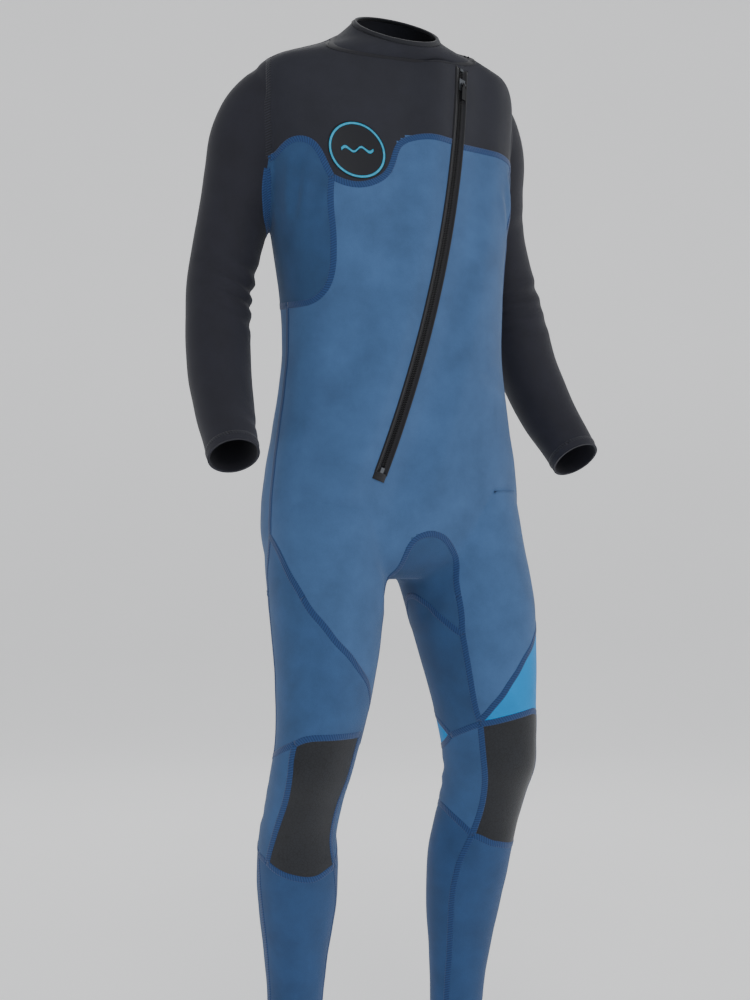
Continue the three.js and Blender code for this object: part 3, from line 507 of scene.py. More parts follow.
def arm_core(side: Side, place: Array) -> Array:
    """Points of a sleeve's centre line, 0 at the shoulder to -10 at the wrist."""
    row = ARM.at(place)[..., :3]
    return row * np.array([side.value, 1, 1])


def arm_at(side: Side, degrees: Array, place: Array) -> Array:
    """Points of a sleeve's outside; 0 degrees is the inner side, 90 the back, -90 the front."""
    place = np.asarray(place, float)
    row = ARM.at(place)
    along = unit(
        ARM.at(np.maximum(place - 0.05, WRIST))[..., :3] - ARM.at(np.minimum(place + 0.05, 0))[..., :3]
    )
    inward = unit(np.cross(np.array([0.0, 1.0, 0.0]), along))
    backward = np.cross(along, inward)
    c, s = np.cos(np.radians(degrees))[..., None], np.sin(np.radians(degrees))[..., None]
    point = row[..., :3] + inward * row[..., 3:4] * c + backward * row[..., 4:5] * s
    return point * np.array([side.value, 1, 1])


@dataclass
class ZipLine:
    """The circle through three points of the front that the zip is sewn along."""

    centre: Array = field(init=False)
    across: Array = field(init=False)
    out: Array = field(init=False)
    down: Array = field(init=False)
    radius: float = field(init=False)
    start: float = field(init=False)
    end: float = field(init=False)

    def __post_init__(self) -> None:
        """Works the circle out from the torso."""
        degrees, height = np.array([-68, -87.5, -112.0]), np.array([-27, -300, -578.0])
        top, middle, bottom = torso_at(degrees, height)
        a, b = middle - top, bottom - top
        cross = np.cross(a, b)
        to_centre = (np.cross(cross, a) * (b @ b) + np.cross(b, cross) * (a @ a)) / (2 * cross @ cross)
        self.across = unit(cross) * (1 if cross[0] > 0 else -1)
        self.centre = top + to_centre
        self.radius = float(np.linalg.norm(to_centre))
        self.out = unit(middle - self.centre)
        self.down = np.cross(self.across, self.out)
        if self.down[2] > 0:
            self.down = -self.down
        self.start = float(self.turn(top)) - 0.004
        self.end = float(self.turn(bottom))

    def turn(self, points: Array) -> Array:
        """How far along the circle the points are, in radians."""
        r = points - self.centre
        return np.arctan2(r @ self.down, r @ self.out)

    def at(self, turn: Array, aside: Array, height: Array) -> Array:
        """Points of the zip: along it, to the wearer's left of its middle, and proud of the suit."""
        turn, aside, height = np.broadcast_arrays(turn, aside, height)
        reach = (self.radius + height)[..., None]
        round_it = self.out * np.cos(turn)[..., None] + self.down * np.sin(turn)[..., None]
        return self.centre + reach * round_it + self.across * aside[..., None]

    def flatten(self, points: Array) -> Array:
        """Draws the points near the zip on to its circle."""
        r = points - self.centre
        d = r @ self.across
        r = r - d[..., None] * self.across
        turn = np.arctan2(r @ self.down, r @ self.out)
        near = 1 - smooth(30, 80, np.abs(d))
        held = smooth(self.start - 0.05, self.start - 0.005, turn) * (
            1 - smooth(self.end + 0.01, self.end + 0.08, turn)
        )
        length = np.linalg.norm(r, axis=-1)
        shift = np.where(length < self.radius * 0.9, 0, (self.radius - length) * near * held)
        return points + unit(r) * shift[..., None]


ZIP = ZipLine()


def closed_tube(rings: Array) -> tuple[Array, list[tuple[int, ...]]]:
    """A tube through the rings, closed at both ends.

    Args:
        rings: Points as rings by points by three.

    Returns:
        Its points and its faces, facing outward for rings that go down anticlockwise from above.
    """
    count, around = rings.shape[:2]
    faces: list[tuple[int, ...]] = []
    for i in range(count - 1):
        for j in range(around):
            k = (j + 1) % around
            faces.append((i * around + j, (i + 1) * around + j, (i + 1) * around + k, i * around + k))
    faces.append(tuple(range(around)))
    faces.append(tuple(range(count * around - 1, (count - 1) * around - 1, -1)))
    return rings.reshape(-1, 3), faces


def mesh_object(name: str, points: Array, faces: Sequence[Sequence[int]]) -> bpy.types.Object:
    """A mesh object from points in millimetres.

    Args:
        name: The object's name.
        points: Points in millimetres.
        faces: Faces as lists of point numbers.

    Returns:
        The object, linked to the scene, shaded smooth.
    """
    mesh = bpy.data.meshes.new(name)
    mesh.from_pydata((np.asarray(points) * MM).tolist(), [], [list(map(int, f)) for f in faces])
    mesh.update()
    mesh.shade_smooth()
    obj = bpy.data.objects.new(name, mesh)
    bpy.context.scene.collection.objects.link(obj)
    return obj


def outward(obj: bpy.types.Object) -> bpy.types.Object:
    """Turns a closed mesh's faces outward."""
    bm = bmesh.new()
    bm.from_mesh(obj.data)
    bmesh.ops.recalc_face_normals(bm, faces=bm.faces)
    bm.to_mesh(obj.data)
    bm.free()
    return obj


def dress(obj: bpy.types.Object, finish: Finish) -> bpy.types.Object:
    """Gives the object one finish all over."""
    obj.data.materials.clear()
    obj.data.materials.append(finish.material())
    return obj


def joined(first: bpy.types.Object, other: bpy.types.Object, how: str) -> bpy.types.Object:
    """First with other joined on or cut away; both are used up.

    Args:
        first: The solid that is kept.
        other: The solid that acts on it.
        how: UNION or DIFFERENCE.

    Returns:
        The new solid.
    """
    act = first.modifiers.new("act", "BOOLEAN")
    act.operation = how
    act.solver = "MANIFOLD"
    act.object = other
    bpy.context.view_layer.update()
    made = bpy.data.meshes.new_from_object(first.evaluated_get(bpy.context.evaluated_depsgraph_get()))
    obj = bpy.data.objects.new(first.name, made)
    bpy.context.scene.collection.objects.link(obj)
    bpy.data.objects.remove(first)
    bpy.data.objects.remove(other)
    return obj


@dataclass(frozen=True)
class Fold:
    """A crease that the fabric keeps, along a line on its outside."""

    line: Array
    depth: float
    width: float

    def push(self, points: Array) -> Array:
        """How far each point moves outward: in along the crease, out in the rolls beside it."""
        tree = KDTree(len(self.line))
        for i, p in enumerate(self.line):
            tree.insert(p, i)
        tree.balance()
        low, high = self.line.min(0) - 3 * self.width, self.line.max(0) + 3 * self.width
        near = np.flatnonzero(((points > low) & (points < high)).all(1))
        moved = np.zeros(len(points))
        last = len(self.line) - 1
        for n in near:
            _, i, d = tree.find(points[n])
            fade = min(1.0, 4 * i / last, 4 * (last - i) / last)
            roll = 0.5 * math.exp(-(((d - 1.9 * self.width) / self.width) ** 2))
            moved[n] = self.depth * fade * (roll - math.exp(-((d / self.width) ** 2)))
        return moved


@dataclass
class Skin:
    """The suit's whole outside as one fine surface, shared out among its panels."""

    nodes: dict[str, bpy.types.Object]
    points: Array = field(init=False)
    faces: list[tuple[int, ...]] = field(init=False)
    normals: Array = field(init=False)
    label: list[str] = field(init=False)
    tree: BVHTree = field(init=False)

    SHARED = ("sleeve_upper_", "elbow_", "forearm_")
    OTHER = ("collar", "zip", "slider", "pull", "badge")

    def __post_init__(self) -> None:
        """Builds the surface, its folds and the panels' shares."""
        whole = self.tubes()
        before = BVHTree.FromObject(whole, bpy.context.evaluated_depsgraph_get())
        whole = joined(whole, self.neck_room(), "DIFFERENCE")
        whole = joined(whole, self.zip_room(), "DIFFERENCE")
        self.take(whole, before)
        self.soften()
        self.crumple()
        self.measure()
        self.share()

    def tubes(self) -> bpy.types.Object:
        """Torso, sleeves and legs joined to one closed solid."""
        turn = np.linspace(0, 360, 196, endpoint=False)
        rows = np.concatenate([np.linspace(34, -60, 26), np.linspace(-64.5, -714, 150), [-718]])
        rings = ZIP.flatten(torso_at(turn[None, :], rows[:, None] * np.ones((1, 196))))
        base = rings[-1]
        middle = np.array([0, 4.0, CROTCH])
        inward = [
            middle + (base - middle) * share - [0, 0, 3 * (1 - share)]
            for share in np.linspace(0.94, 0.06, 22)
        ]
        rings = np.concatenate([rings, np.array(inward)])
        whole = outward(mesh_object("skin", *closed_tube(rings)))
        for side in Side:
            turn = np.linspace(0, 360, 112, endpoint=False)
            rows = np.linspace(-600, ANKLE, 182)
            leg = outward(
                mesh_object(
                    "leg", *closed_tube(leg_at(side, turn[None, :], rows[:, None] * np.ones((1, 112))))
                )
            )
            whole = joined(whole, leg, "UNION")
            turn = np.linspace(0, 360, 66, endpoint=False)
            rows = np.linspace(0, WRIST, 132)
            arm = arm_at(side, turn[None, :] * np.ones((132, 1)), rows[:, None] * np.ones((1, 66)))
            whole = joined(whole, outward(mesh_object("arm", *closed_tube(arm))), "UNION")
        return whole

    def neck_room(self) -> bpy.types.Object:
        """What is cut away for the collar."""
        turn = np.linspace(0, 360, 96, endpoint=False)
        line, aside = Collar.seam(turn)
        rings = [
            line + aside * out + np.array([0, 0, up]) for out, up in ((20, 90), (12, 6), (0.3, 0), (-25, -40))
        ]
        return outward(mesh_object("neck", *closed_tube(np.array(rings))))

    def zip_room(self) -> bpy.types.Object:
        """What is cut away for the zip."""
        turns = np.linspace(ZIP.start, ZIP.end, 80)
        rings = np.stack([ZIP.at(turns, d, h) for d, h in ((-10, -6), (10, -6), (10, 9), (-10, 9))], 1)
        return outward(mesh_object("slot", *closed_tube(rings)))

    def take(self, whole: bpy.types.Object, before: BVHTree) -> None:
        """Keeps the faces that are the suit's outside.

        Args:
            whole: The closed solid with its cuts.
            before: The outside before it was cut.
        """
        mesh = whole.data
        points = np.zeros(len(mesh.vertices) * 3, np.float32)
        mesh.vertices.foreach_get("co", points)
        points = points.reshape(-1, 3).astype(float) / MM
        wrists = {
            side: (arm_core(side, WRIST), unit(arm_core(side, WRIST) - arm_core(side, WRIST + 0.1)))
            for side in Side
        }
        kept: list[tuple[int, ...]] = []
        for face in mesh.polygons:
            centre, normal = np.array(face.center) / MM, np.array(face.normal)
            if before.find_nearest(face.center)[3] > 0.0006:
                continue
            if centre[2] < ANKLE + 1 and normal[2] < -0.9:
                continue
            if centre[2] > 33 and normal[2] > 0.9:
                continue
            at_wrist = (
                np.linalg.norm(centre - end) < 60 and (centre - end) @ way > -0.6 and normal @ way > 0.9
                for end, way in wrists.values()
            )
            if any(at_wrist):
                continue
            kept.append(tuple(face.vertices))
        used = np.unique(np.concatenate([np.array(f) for f in kept]))
        renumber = np.zeros(len(points), int)
        renumber[used] = np.arange(len(used))
        self.points = points[used]
        self.faces = [tuple(renumber[list(f)]) for f in kept]
        bpy.data.objects.remove(whole)

    def edges(self) -> dict[tuple[int, int], list[int]]:
        """Every edge with the faces on it."""
        found: dict[tuple[int, int], list[int]] = defaultdict(list)
        for n, face in enumerate(self.faces):
            for a, b in zip(face, face[1:] + face[:1]):
                found[(min(a, b), max(a, b))].append(n)
        return found

    def soften(self) -> None:
        """Rounds the corners where sleeves and legs join the trunk."""
        x, y, z = self.points.T
        arm = np.array([np.abs(x) + 0.5 * y - 187]).T[:, 0]
        near_arm = np.clip(1 - np.abs(arm) / 30, 0, 1) * (z > -265) * (z < -10)
        near_leg = np.clip(1 - np.abs(z + 690) / 70, 0, 1)
        inner = np.clip(1 - np.abs(x) / 45, 0, 1) * (z < -600) * (z > -860)
        weight = np.clip(near_arm + near_leg + inner, 0, 1)[:, None] * 0.6
        pairs = np.array(list(self.edges()))
        open_edges = {v for e, f in self.edges().items() if len(f) == 1 for v in e}
        weight[list(open_edges)] = 0
        degree = np.bincount(pairs.ravel(), minlength=len(self.points))[:, None]
        for _ in range(14):
            total = np.zeros_like(self.points)
            np.add.at(total, pairs[:, 0], self.points[pairs[:, 1]])
            np.add.at(total, pairs[:, 1], self.points[pairs[:, 0]])
            self.points = self.points + weight * (total / np.maximum(degree, 1) - self.points)

    def folds(self) -> list[Fold]:
        """The creases at the elbows, armpits, crotch, waist and the backs of the knees."""
        made: list[Fold] = []
        for side in Side:
            for place, start, end, depth, width in (
                (-4.55, -120, 40, 1.8, 8), (-5.0, -175, 30, 3.6, 7), (-5.45, -150, 60, 2.8, 6.5),
                (-5.95, -165, 10, 1.6, 7), (-3.6, -160, -20, 1.3, 9), (-8.6, -120, 30, 0.9, 7),
            ):
                turn = np.linspace(start, end, 46)
                place_line = place + 0.22 * np.sin(np.radians(turn * 1.4 + 30 * side.value))
                made.append(Fold(arm_at(side, turn, place_line), depth, width))
            for start, end, high, low, depth in (
                (-152, -166, -150, -245, 3.4),
                (-138, -158, -178, -262, 1.8),
            ):
                turn = np.linspace(start, end, 40)
                turn = turn if side is Side.RIGHT else -180 - turn
                made.append(Fold(torso_at(turn, np.linspace(high, low, 40)), depth, 8))
            for height, start, end, depth in (
                (-985, 70, 215, 2.2),
                (-1008, 80, 200, 2.8),
                (-1034, 60, 190, 1.8),
                (-1330, -60, 60, 0.9),
            ):
                turn = np.linspace(start, end, 40)
                made.append(Fold(leg_at(side, turn, height + 7 * np.sin(np.radians(turn * 2))), depth, 7))
            for start, end, high, low in ((-70, -120, -690, -742), (-85, -135, -715, -780)):
                made.append(
                    Fold(leg_at(side, np.linspace(start, end, 36), np.linspace(high, low, 36)), 1.6, 9)
                )
        for height, start, end in ((-418, -150, -112), (-446, -64, -30), (-470, -140, -118)):
            made.append(
                Fold(torso_at(np.linspace(start, end, 30), np.linspace(height, height - 14, 30)), 1.0, 10)
            )
        return made

    def crumple(self) -> None:
        """Presses the folds and a gentle unevenness into the fabric."""
        self.measure()
        push = np.zeros(len(self.points))
        for fold in self.folds():
            push += fold.push(self.points)
        push += np.array(
            [0.7 * noise.noise(Vector((p[0] / 60, p[1] / 60, p[2] / 38))) for p in self.points]
        )
        r = self.points - ZIP.centre
        turn = ZIP.turn(self.points)
        along = smooth(ZIP.start - 0.04, ZIP.start, turn) * (1 - smooth(ZIP.end + 0.01, ZIP.end + 0.04, turn))
        front = (r @ ZIP.out) > 0.9 * ZIP.radius
        calm = 1 - (1 - smooth(14, 40, np.abs(r @ ZIP.across))) * along * front
        ends = smooth(ANKLE, ANKLE + 20, self.points[:, 2]) * smooth(
            0, 40, np.linalg.norm(self.points - Collar.foot, axis=1) - 84
        )
        self.points = self.points + self.normals * (push * calm * ends)[:, None]

    def measure(self) -> None:
        """Works out the normals at the points and the search tree."""
        normals = np.zeros_like(self.points)
        for face in self.faces:
            a, b, c = self.points[face[0]], self.points[face[1]], self.points[face[2]]
            d = self.points[face[3]] if len(face) > 3 else a
            normals[list(face)] += np.cross(c - a, d - b) if len(face) > 3 else np.cross(b - a, c - a)
        self.normals = unit(normals)
        self.tree = BVHTree.FromPolygons(self.points.tolist(), [list(map(int, f)) for f in self.faces])

    def panel_of(self, node: str) -> str:
        """The panel that a CAD node belongs to; a sleeve is one panel from armhole to cuff."""
        for start in self.SHARED:
            if node.startswith(start):
                return "sleeve_" + node.removeprefix(start)
        return node

    def share(self) -> None:
        """Gives each face to the panel whose solid is nearest, then clears stray faces."""
        points: list[Vector] = []
        triangles: list[tuple[int, ...]] = []
        owner: list[str] = []
        for name, obj in self.nodes.items():
            if name.startswith(self.OTHER):
                continue
            base = len(points)
            points += [v.co / MM for v in obj.data.vertices]
            for face in obj.data.polygons:
                triangles.append(tuple(base + v for v in face.vertices))
                owner.append(self.panel_of(name))
        tree = BVHTree.FromPolygons(points, triangles)
        centres = [self.points[list(face)].mean(0) for face in self.faces]
        self.label = [owner[tree.find_nearest(c)[2]] for c in centres]
        around: list[list[int]] = [[] for _ in self.faces]
        for pair in self.edges().values():
            if len(pair) == 2:
                around[pair[0]].append(pair[1])
                around[pair[1]].append(pair[0])
        for _ in range(4):
            changed = list(self.label)
            for n, others in enumerate(around):
                words = [self.label[o] for o in others]
                best = max(set(words), key=words.count) if words else self.label[n]
                if best != self.label[n] and words.count(best) >= 3:
                    changed[n] = best
            self.label = changed

    def on(self, point: Array, height: float = 0.0) -> Array:
        """The nearest place of the outside, `height` proud of it."""
        place, normal, _, _ = self.tree.find_nearest(Vector(point))
        return np.array(place) + height * np.array(normal)


# ---- Collar ----


@dataclass
class Collar:
    """Low collar that leans forward, and its bound edge."""

    thick: float = 3.0
    height: float = 35.0
    edge: float = 5.0

    lean = math.radians(26)
    foot = np.array([0.0, -2.0, -2.0])

    @staticmethod
    def radius(height: float) -> float:
        """Outside radius of the leaning rim at a height along the lean."""
        return 76 - (76 - 59) / 35 * height

    @staticmethod
    def seam(degrees: Array) -> tuple[Array, Array]:
        """The line where the collar meets the yoke, and the way outward from it, level."""
        s = np.sin(np.radians(degrees))
        line = torso_at(degrees, 18 + s * np.where(s < 0, 38, 4))
        way = (line - np.array([0, 2.0, 0])) * np.array([1, 1, 0])
        return line, unit(way)

    @classmethod
    def ring(cls, degrees: Array, height: float, radius: float) -> Array:
        """One ring round the leaning axis."""
        axis = np.array([0, -math.sin(cls.lean), math.cos(cls.lean)])
        back = np.array([0, math.cos(cls.lean), math.sin(cls.lean)])
        c, s = np.cos(np.radians(degrees)), np.sin(np.radians(degrees))
        return cls.foot + height * axis + radius * (c[:, None] * np.array([1.0, 0, 0]) + s[:, None] * back)

    def wall(self, degrees: Array, share: float, inset: float) -> Array:
        """A ring of the collar's wall, from its seam at 0 to its binding at 1."""
        line, aside = self.seam(degrees)
        top = self.height - self.edge
        return line + (self.ring(degrees, top, self.radius(top)) - line) * share - aside * inset

    def piece(self, name: str, rings: Sequence[Array], finish: Finish) -> bpy.types.Object:
        """A closed ring from the corners of its section.

        Args:
            name: The piece's name.
            rings: One ring of points for each corner.
            finish: Its finish.

        Returns:
            The piece, riding on the suit.
        """
        count, around = len(rings), len(rings[0])
        faces = [
            (
                i * around + j,
                i * around + (j + 1) % around,
                (i + 1) % count * around + (j + 1) % around,
                (i + 1) % count * around + j,
            )
            for i in range(count)
            for j in range(around)
        ]
        obj = outward(mesh_object(name, np.concatenate(rings), faces))
        dress(obj, finish)
        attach(obj, "suit")
        return obj

    def build(self, skin: Skin) -> None:
        """Makes the collar, its binding and the seam round its foot."""
        turn = np.linspace(0, 360, 168, endpoint=False)
        shares = np.linspace(0, 1, 10)
        bulge = 0.9 * np.sin(np.pi * shares)
        outer = [self.wall(turn, k, -b) for k, b in zip(shares, bulge)]
        inner = [self.wall(turn, k, self.thick - b) for k, b in reversed(list(zip(shares, bulge)))]
        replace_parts(self.piece("collar", outer + inner, BLACK), "collar")
        top, r0, r1 = self.height - self.edge, self.radius(self.height - self.edge), self.radius(self.height)
        section = (
            (r0 + 0.3, top + 0.1), (r0 + 1.0, top + 1.2), (r1 + 1.0, top + 3.6), (r1 + 0.2, self.height),
            (r1 - 3.2, self.height), (r1 - 4.0, top + 3.6), (r0 - 4.0, top + 1.2), (r0 - 3.4, top + 0.1),
        )
        binding = self.piece("collar_binding", [self.ring(turn, h, r) for r, h in section], BOUND)
        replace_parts(binding, "collar_binding")
        line, aside = self.seam(turn)
        on_yoke = [
            np.array([skin.on(p, h) for p in line + aside * d])
            for d, h in ((2.2, 0.75), (4.6, 0.6), (5.2, -0.6))
        ]
        rings = [
            self.wall(turn, 0.13, 0.8),
            self.wall(turn, 0.13, -1.0),
            self.wall(turn, 0.02, -1.4),
            *on_yoke,
            line - [0, 0, 2],
        ]
        self.piece("seam_collar", rings, SEAM_BLACK)


# ---- Panels ----


@dataclass
class Panels:
    """Every cut panel of neoprene, 3 mm thick."""

    skin: Skin
    record: dict
    thick: float = 3.0

    knee_from = -925.0
    knee_to = -1075.0
    elbow_from = -4.4
    elbow_to = -6.4

    def finish_of(self, panel: str) -> Finish:
        """The finish of a panel by its name."""
        starts: tuple[tuple[str, Finish], ...] = (
            ("yoke", BLACK), ("sleeve", SLEEVE), ("wrist", SLEEVE), ("underarm", UNDERARM),
            ("side_panel", SIDE_BLUE), ("front_body", CHEST), ("back_body", CHEST), ("accent", CYAN),
            ("knee_pad", KNEE), ("thigh", THIGH), ("knee_back", THIGH), ("inner", DARK_BLUE),
            ("crotch", DARK_BLUE), ("calf", CALF), ("ankle", CALF),
        )
        return next(finish for start, finish in starts if panel.startswith(start))

    @classmethod
    def attach(cls, obj: bpy.types.Object, middle: Array, lowest: float) -> None:
        """Parents a piece to the suit's trunk, or only bakes the transform of a piece that reaches below the
        knee's top or down an arm past the elbow.

        Args:
            obj: The piece.
            middle: A point in the middle of it, in millimetres.
            lowest: Its lowest level.
        """
        side = Side.RIGHT if middle[0] < 0 else Side.LEFT
        if lowest < cls.knee_from:
            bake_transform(obj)
        elif abs(middle[0]) > 190 and lowest < -280 and middle[2] > -600:
            start, end = (arm_core(side, k) * MM for k in (cls.elbow_from, cls.elbow_to))
            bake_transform(obj)
        else:
            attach(obj, "suit")

    def build(self) -> None:
        """Makes every panel."""
        slots = {s["node"]: s["material_slot"] for s in self.record["subparts"]}
        members: dict[str, list[str]] = defaultdict(list)
        for node in self.skin.nodes:
            if not node.startswith(Skin.OTHER):
                members[self.skin.panel_of(node)].append(node)
        for panel, nodes in sorted(members.items()):
            faces = [f for f, label in zip(self.skin.faces, self.skin.label) if label == panel]
            if not faces:
                LOG.warning("%s has no faces", panel)
                continue
            obj = self.panel(panel, faces)
            dress(obj, self.finish_of(panel))
            slots[nodes[0]]
            points = self.skin.points[np.unique(np.concatenate([np.array(f) for f in faces]))]
            self.attach(obj, points.mean(0), float(points[:, 2].min()))
            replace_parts(obj, *nodes)
            LOG.info("panel %s: %d faces", panel, len(faces))

    def panel(self, name: str, faces: list[tuple[int, ...]]) -> bpy.types.Object:
        """One panel with its outside, inside and cut edges.

        Args:
            name: Its name.
            faces: Its faces of the whole skin.

        Returns:
            The closed panel.
        """
        used = np.unique(np.concatenate([np.array(f) for f in faces]))
        number = {int(v): i for i, v in enumerate(used)}
        count = len(used)
        outer = self.skin.points[used]
        inner = outer - self.thick * self.skin.normals[used]
        shell = [tuple(number[v] for v in f) for f in faces]
        lining = [tuple(count + v for v in reversed(f)) for f in shell]
        single: dict[tuple[int, int], tuple[int, int]] = {}
        for f in shell:
            for a, b in zip(f, f[1:] + f[:1]):
                key = (min(a, b), max(a, b))
                if key in single:
                    del single[key]
                else:
                    single[key] = (a, b)
        rim = [(b, a, count + a, count + b) for a, b in single.values()]
        obj = mesh_object(name, np.concatenate([outer, inner]), shell + lining + rim)
        sharp = obj.data.attributes.new("sharp_edge", "BOOLEAN", "EDGE")
        keys = set(single) | {(a + count, b + count) for a, b in single}
        sharp.data.foreach_set("value", [tuple(sorted(e.vertices)) in keys for e in obj.data.edges])
        return obj


# ---- Seams ----


@dataclass
class Seams:
    """Flatlock seams over every join between two panels, and the hems."""

    skin: Skin
    half: float = 4.6
    rise: float = 0.75
    step: float = 4.0

    def lines(self) -> list[tuple[list[int], frozenset[str]]]:
        """The joins as chains of points, with the two panels that each one joins."""
        joins: dict[frozenset[str], dict[int, list[int]]] = defaultdict(lambda: defaultdict(list))
        for (a, b), pair in self.skin.edges().items():
            if len(pair) == 2 and self.skin.label[pair[0]] != self.skin.label[pair[1]]:
                both = frozenset(self.skin.label[n] for n in pair)
                joins[both][a].append(b)
                joins[both][b].append(a)
        found: list[tuple[list[int], frozenset[str]]] = []
        for both in sorted(joins, key=sorted):
            links = joins[both]
            used: set[tuple[int, int]] = set()
            starts = sorted(v for v in links if len(links[v]) != 2) + sorted(links)
            for start in starts:
                for first in links[start]:
                    if (min(start, first), max(start, first)) in used:
                        continue
                    chain = [start, first]
                    used.add((min(start, first), max(start, first)))
                    while len(links[chain[-1]]) == 2:
                        ahead = [
                            v for v in links[chain[-1]] if (min(v, chain[-1]), max(v, chain[-1])) not in used
                        ]
                        if not ahead:
                            break
                        used.add((min(ahead[0], chain[-1]), max(ahead[0], chain[-1])))
                        chain.append(ahead[0])
                    found.append((chain, both))
        return [item for item in found if len(item[0]) > 6]

    def relaxed(self, chain: list[int]) -> Array:
        """The chain as an even, smooth line on the fabric.

        Args:
            chain: Points of the skin in order.

        Returns:
            Points about one step apart.
        """
        line = self.skin.points[chain]
        closed = chain[0] == chain[-1]
        for _ in range(26):
            moved = line.copy()
            moved[1:-1] = 0.5 * line[1:-1] + 0.25 * (line[:-2] + line[2:])
            if closed:
                moved[0] = moved[-1] = 0.5 * line[0] + 0.25 * (line[-2] + line[1])
            line = moved
        along = np.concatenate([[0], np.cumsum(np.linalg.norm(np.diff(line, axis=0), axis=1))])
        wanted = np.linspace(0, along[-1], max(3, int(along[-1] / self.step)))
        line = np.stack([np.interp(wanted, along, line[:, k]) for k in range(3)], 1)
        return np.array([self.skin.on(p) for p in line])

    def strip(self, name: str, line: Array, finish: Finish, half: float, rise: float) -> bpy.types.Object:
        """A low band along a line on the fabric.

        Args:
            name: The piece's name.
            line: Points on the fabric.
            finish: Its finish.
            half: Half its width.
            rise: How proud its two thread rows stand.

        Returns:
            The band, a closed strip with UV along and across.
        """
        tangent = unit(np.gradient(line, axis=0))
        normal = np.array([self.skin.tree.find_nearest(Vector(p))[1] for p in line])
        for _ in range(3):
            normal[1:-1] = unit(0.5 * normal[1:-1] + 0.25 * (normal[:-2] + normal[2:]))
        across = unit(np.cross(tangent, normal))
        shape = (
            (-1, -0.5), (-0.86, 0.45), (-0.5, 1.0), (-0.12, 0.7),
            (0.12, 0.7), (0.5, 1.0), (0.86, 0.45), (1, -0.5),
        )
        rings = []
        for x, h in shape:
            laid = line + across * x * half
            rings.append(np.array([self.skin.on(p) for p in laid]) + normal * (h * rise))
        rings.append(line + across * half * 0.6 - normal * 1.4)
        rings.append(line - across * half * 0.6 - normal * 1.4)
        grid = np.stack(rings, 1)
        obj = outward(mesh_object(name, *closed_tube(grid)))
        uv = obj.data.uv_layers.new(name="along")
        run = np.concatenate([[0], np.cumsum(np.linalg.norm(np.diff(line, axis=0), axis=1))]) * MM
        offset = [x * half * MM for x, _ in shape] + [half * MM, -half * MM]
        width = len(offset)
        for loop in obj.data.loops:
            i, j = divmod(loop.vertex_index, width)
            uv.data[loop.index].uv = (run[i], offset[j])
        return dress(obj, finish)

    def build(self) -> None:
        """Makes every seam, split where the trunk ends and the legs begin."""
        count = 0
        for chain, both in self.lines():
            line = self.relaxed(chain)
            dark = all(p.startswith(("yoke", "sleeve", "wrist")) for p in both)
            finish: Finish = SEAM_BLACK if dark else SEAM_BLUE
            hem = any(p.startswith(("wrist", "ankle")) for p in both)
            parts = self.cut(line)
            for part in parts:
                if len(part) < 4:
                    continue
                count += 1
                name = f"seam_{count:02d}"
                obj = self.strip(name, part, finish, 2.6 if hem else self.half, self.rise)
                Panels.attach(obj, part.mean(0), float(part[:, 2].min()))
        LOG.info("seams: %d", count)

    @staticmethod
    def cut(line: Array, levels: Sequence[float] = (-740.0,)) -> list[Array]:
        """The line in parts, cut where it crosses one of the levels."""
        parts = [line]
        for height in levels:
            split: list[Array] = []
            for part in parts:
                above = part[:, 2] > height
                turns = np.flatnonzero(above[1:] != above[:-1]) + 1
                edges = [0, *turns.tolist(), len(part) - 1]
                split += [part[a : b + 1] for a, b in zip(edges[:-1], edges[1:])]
            parts = split
        return parts


# ---- Zip ----


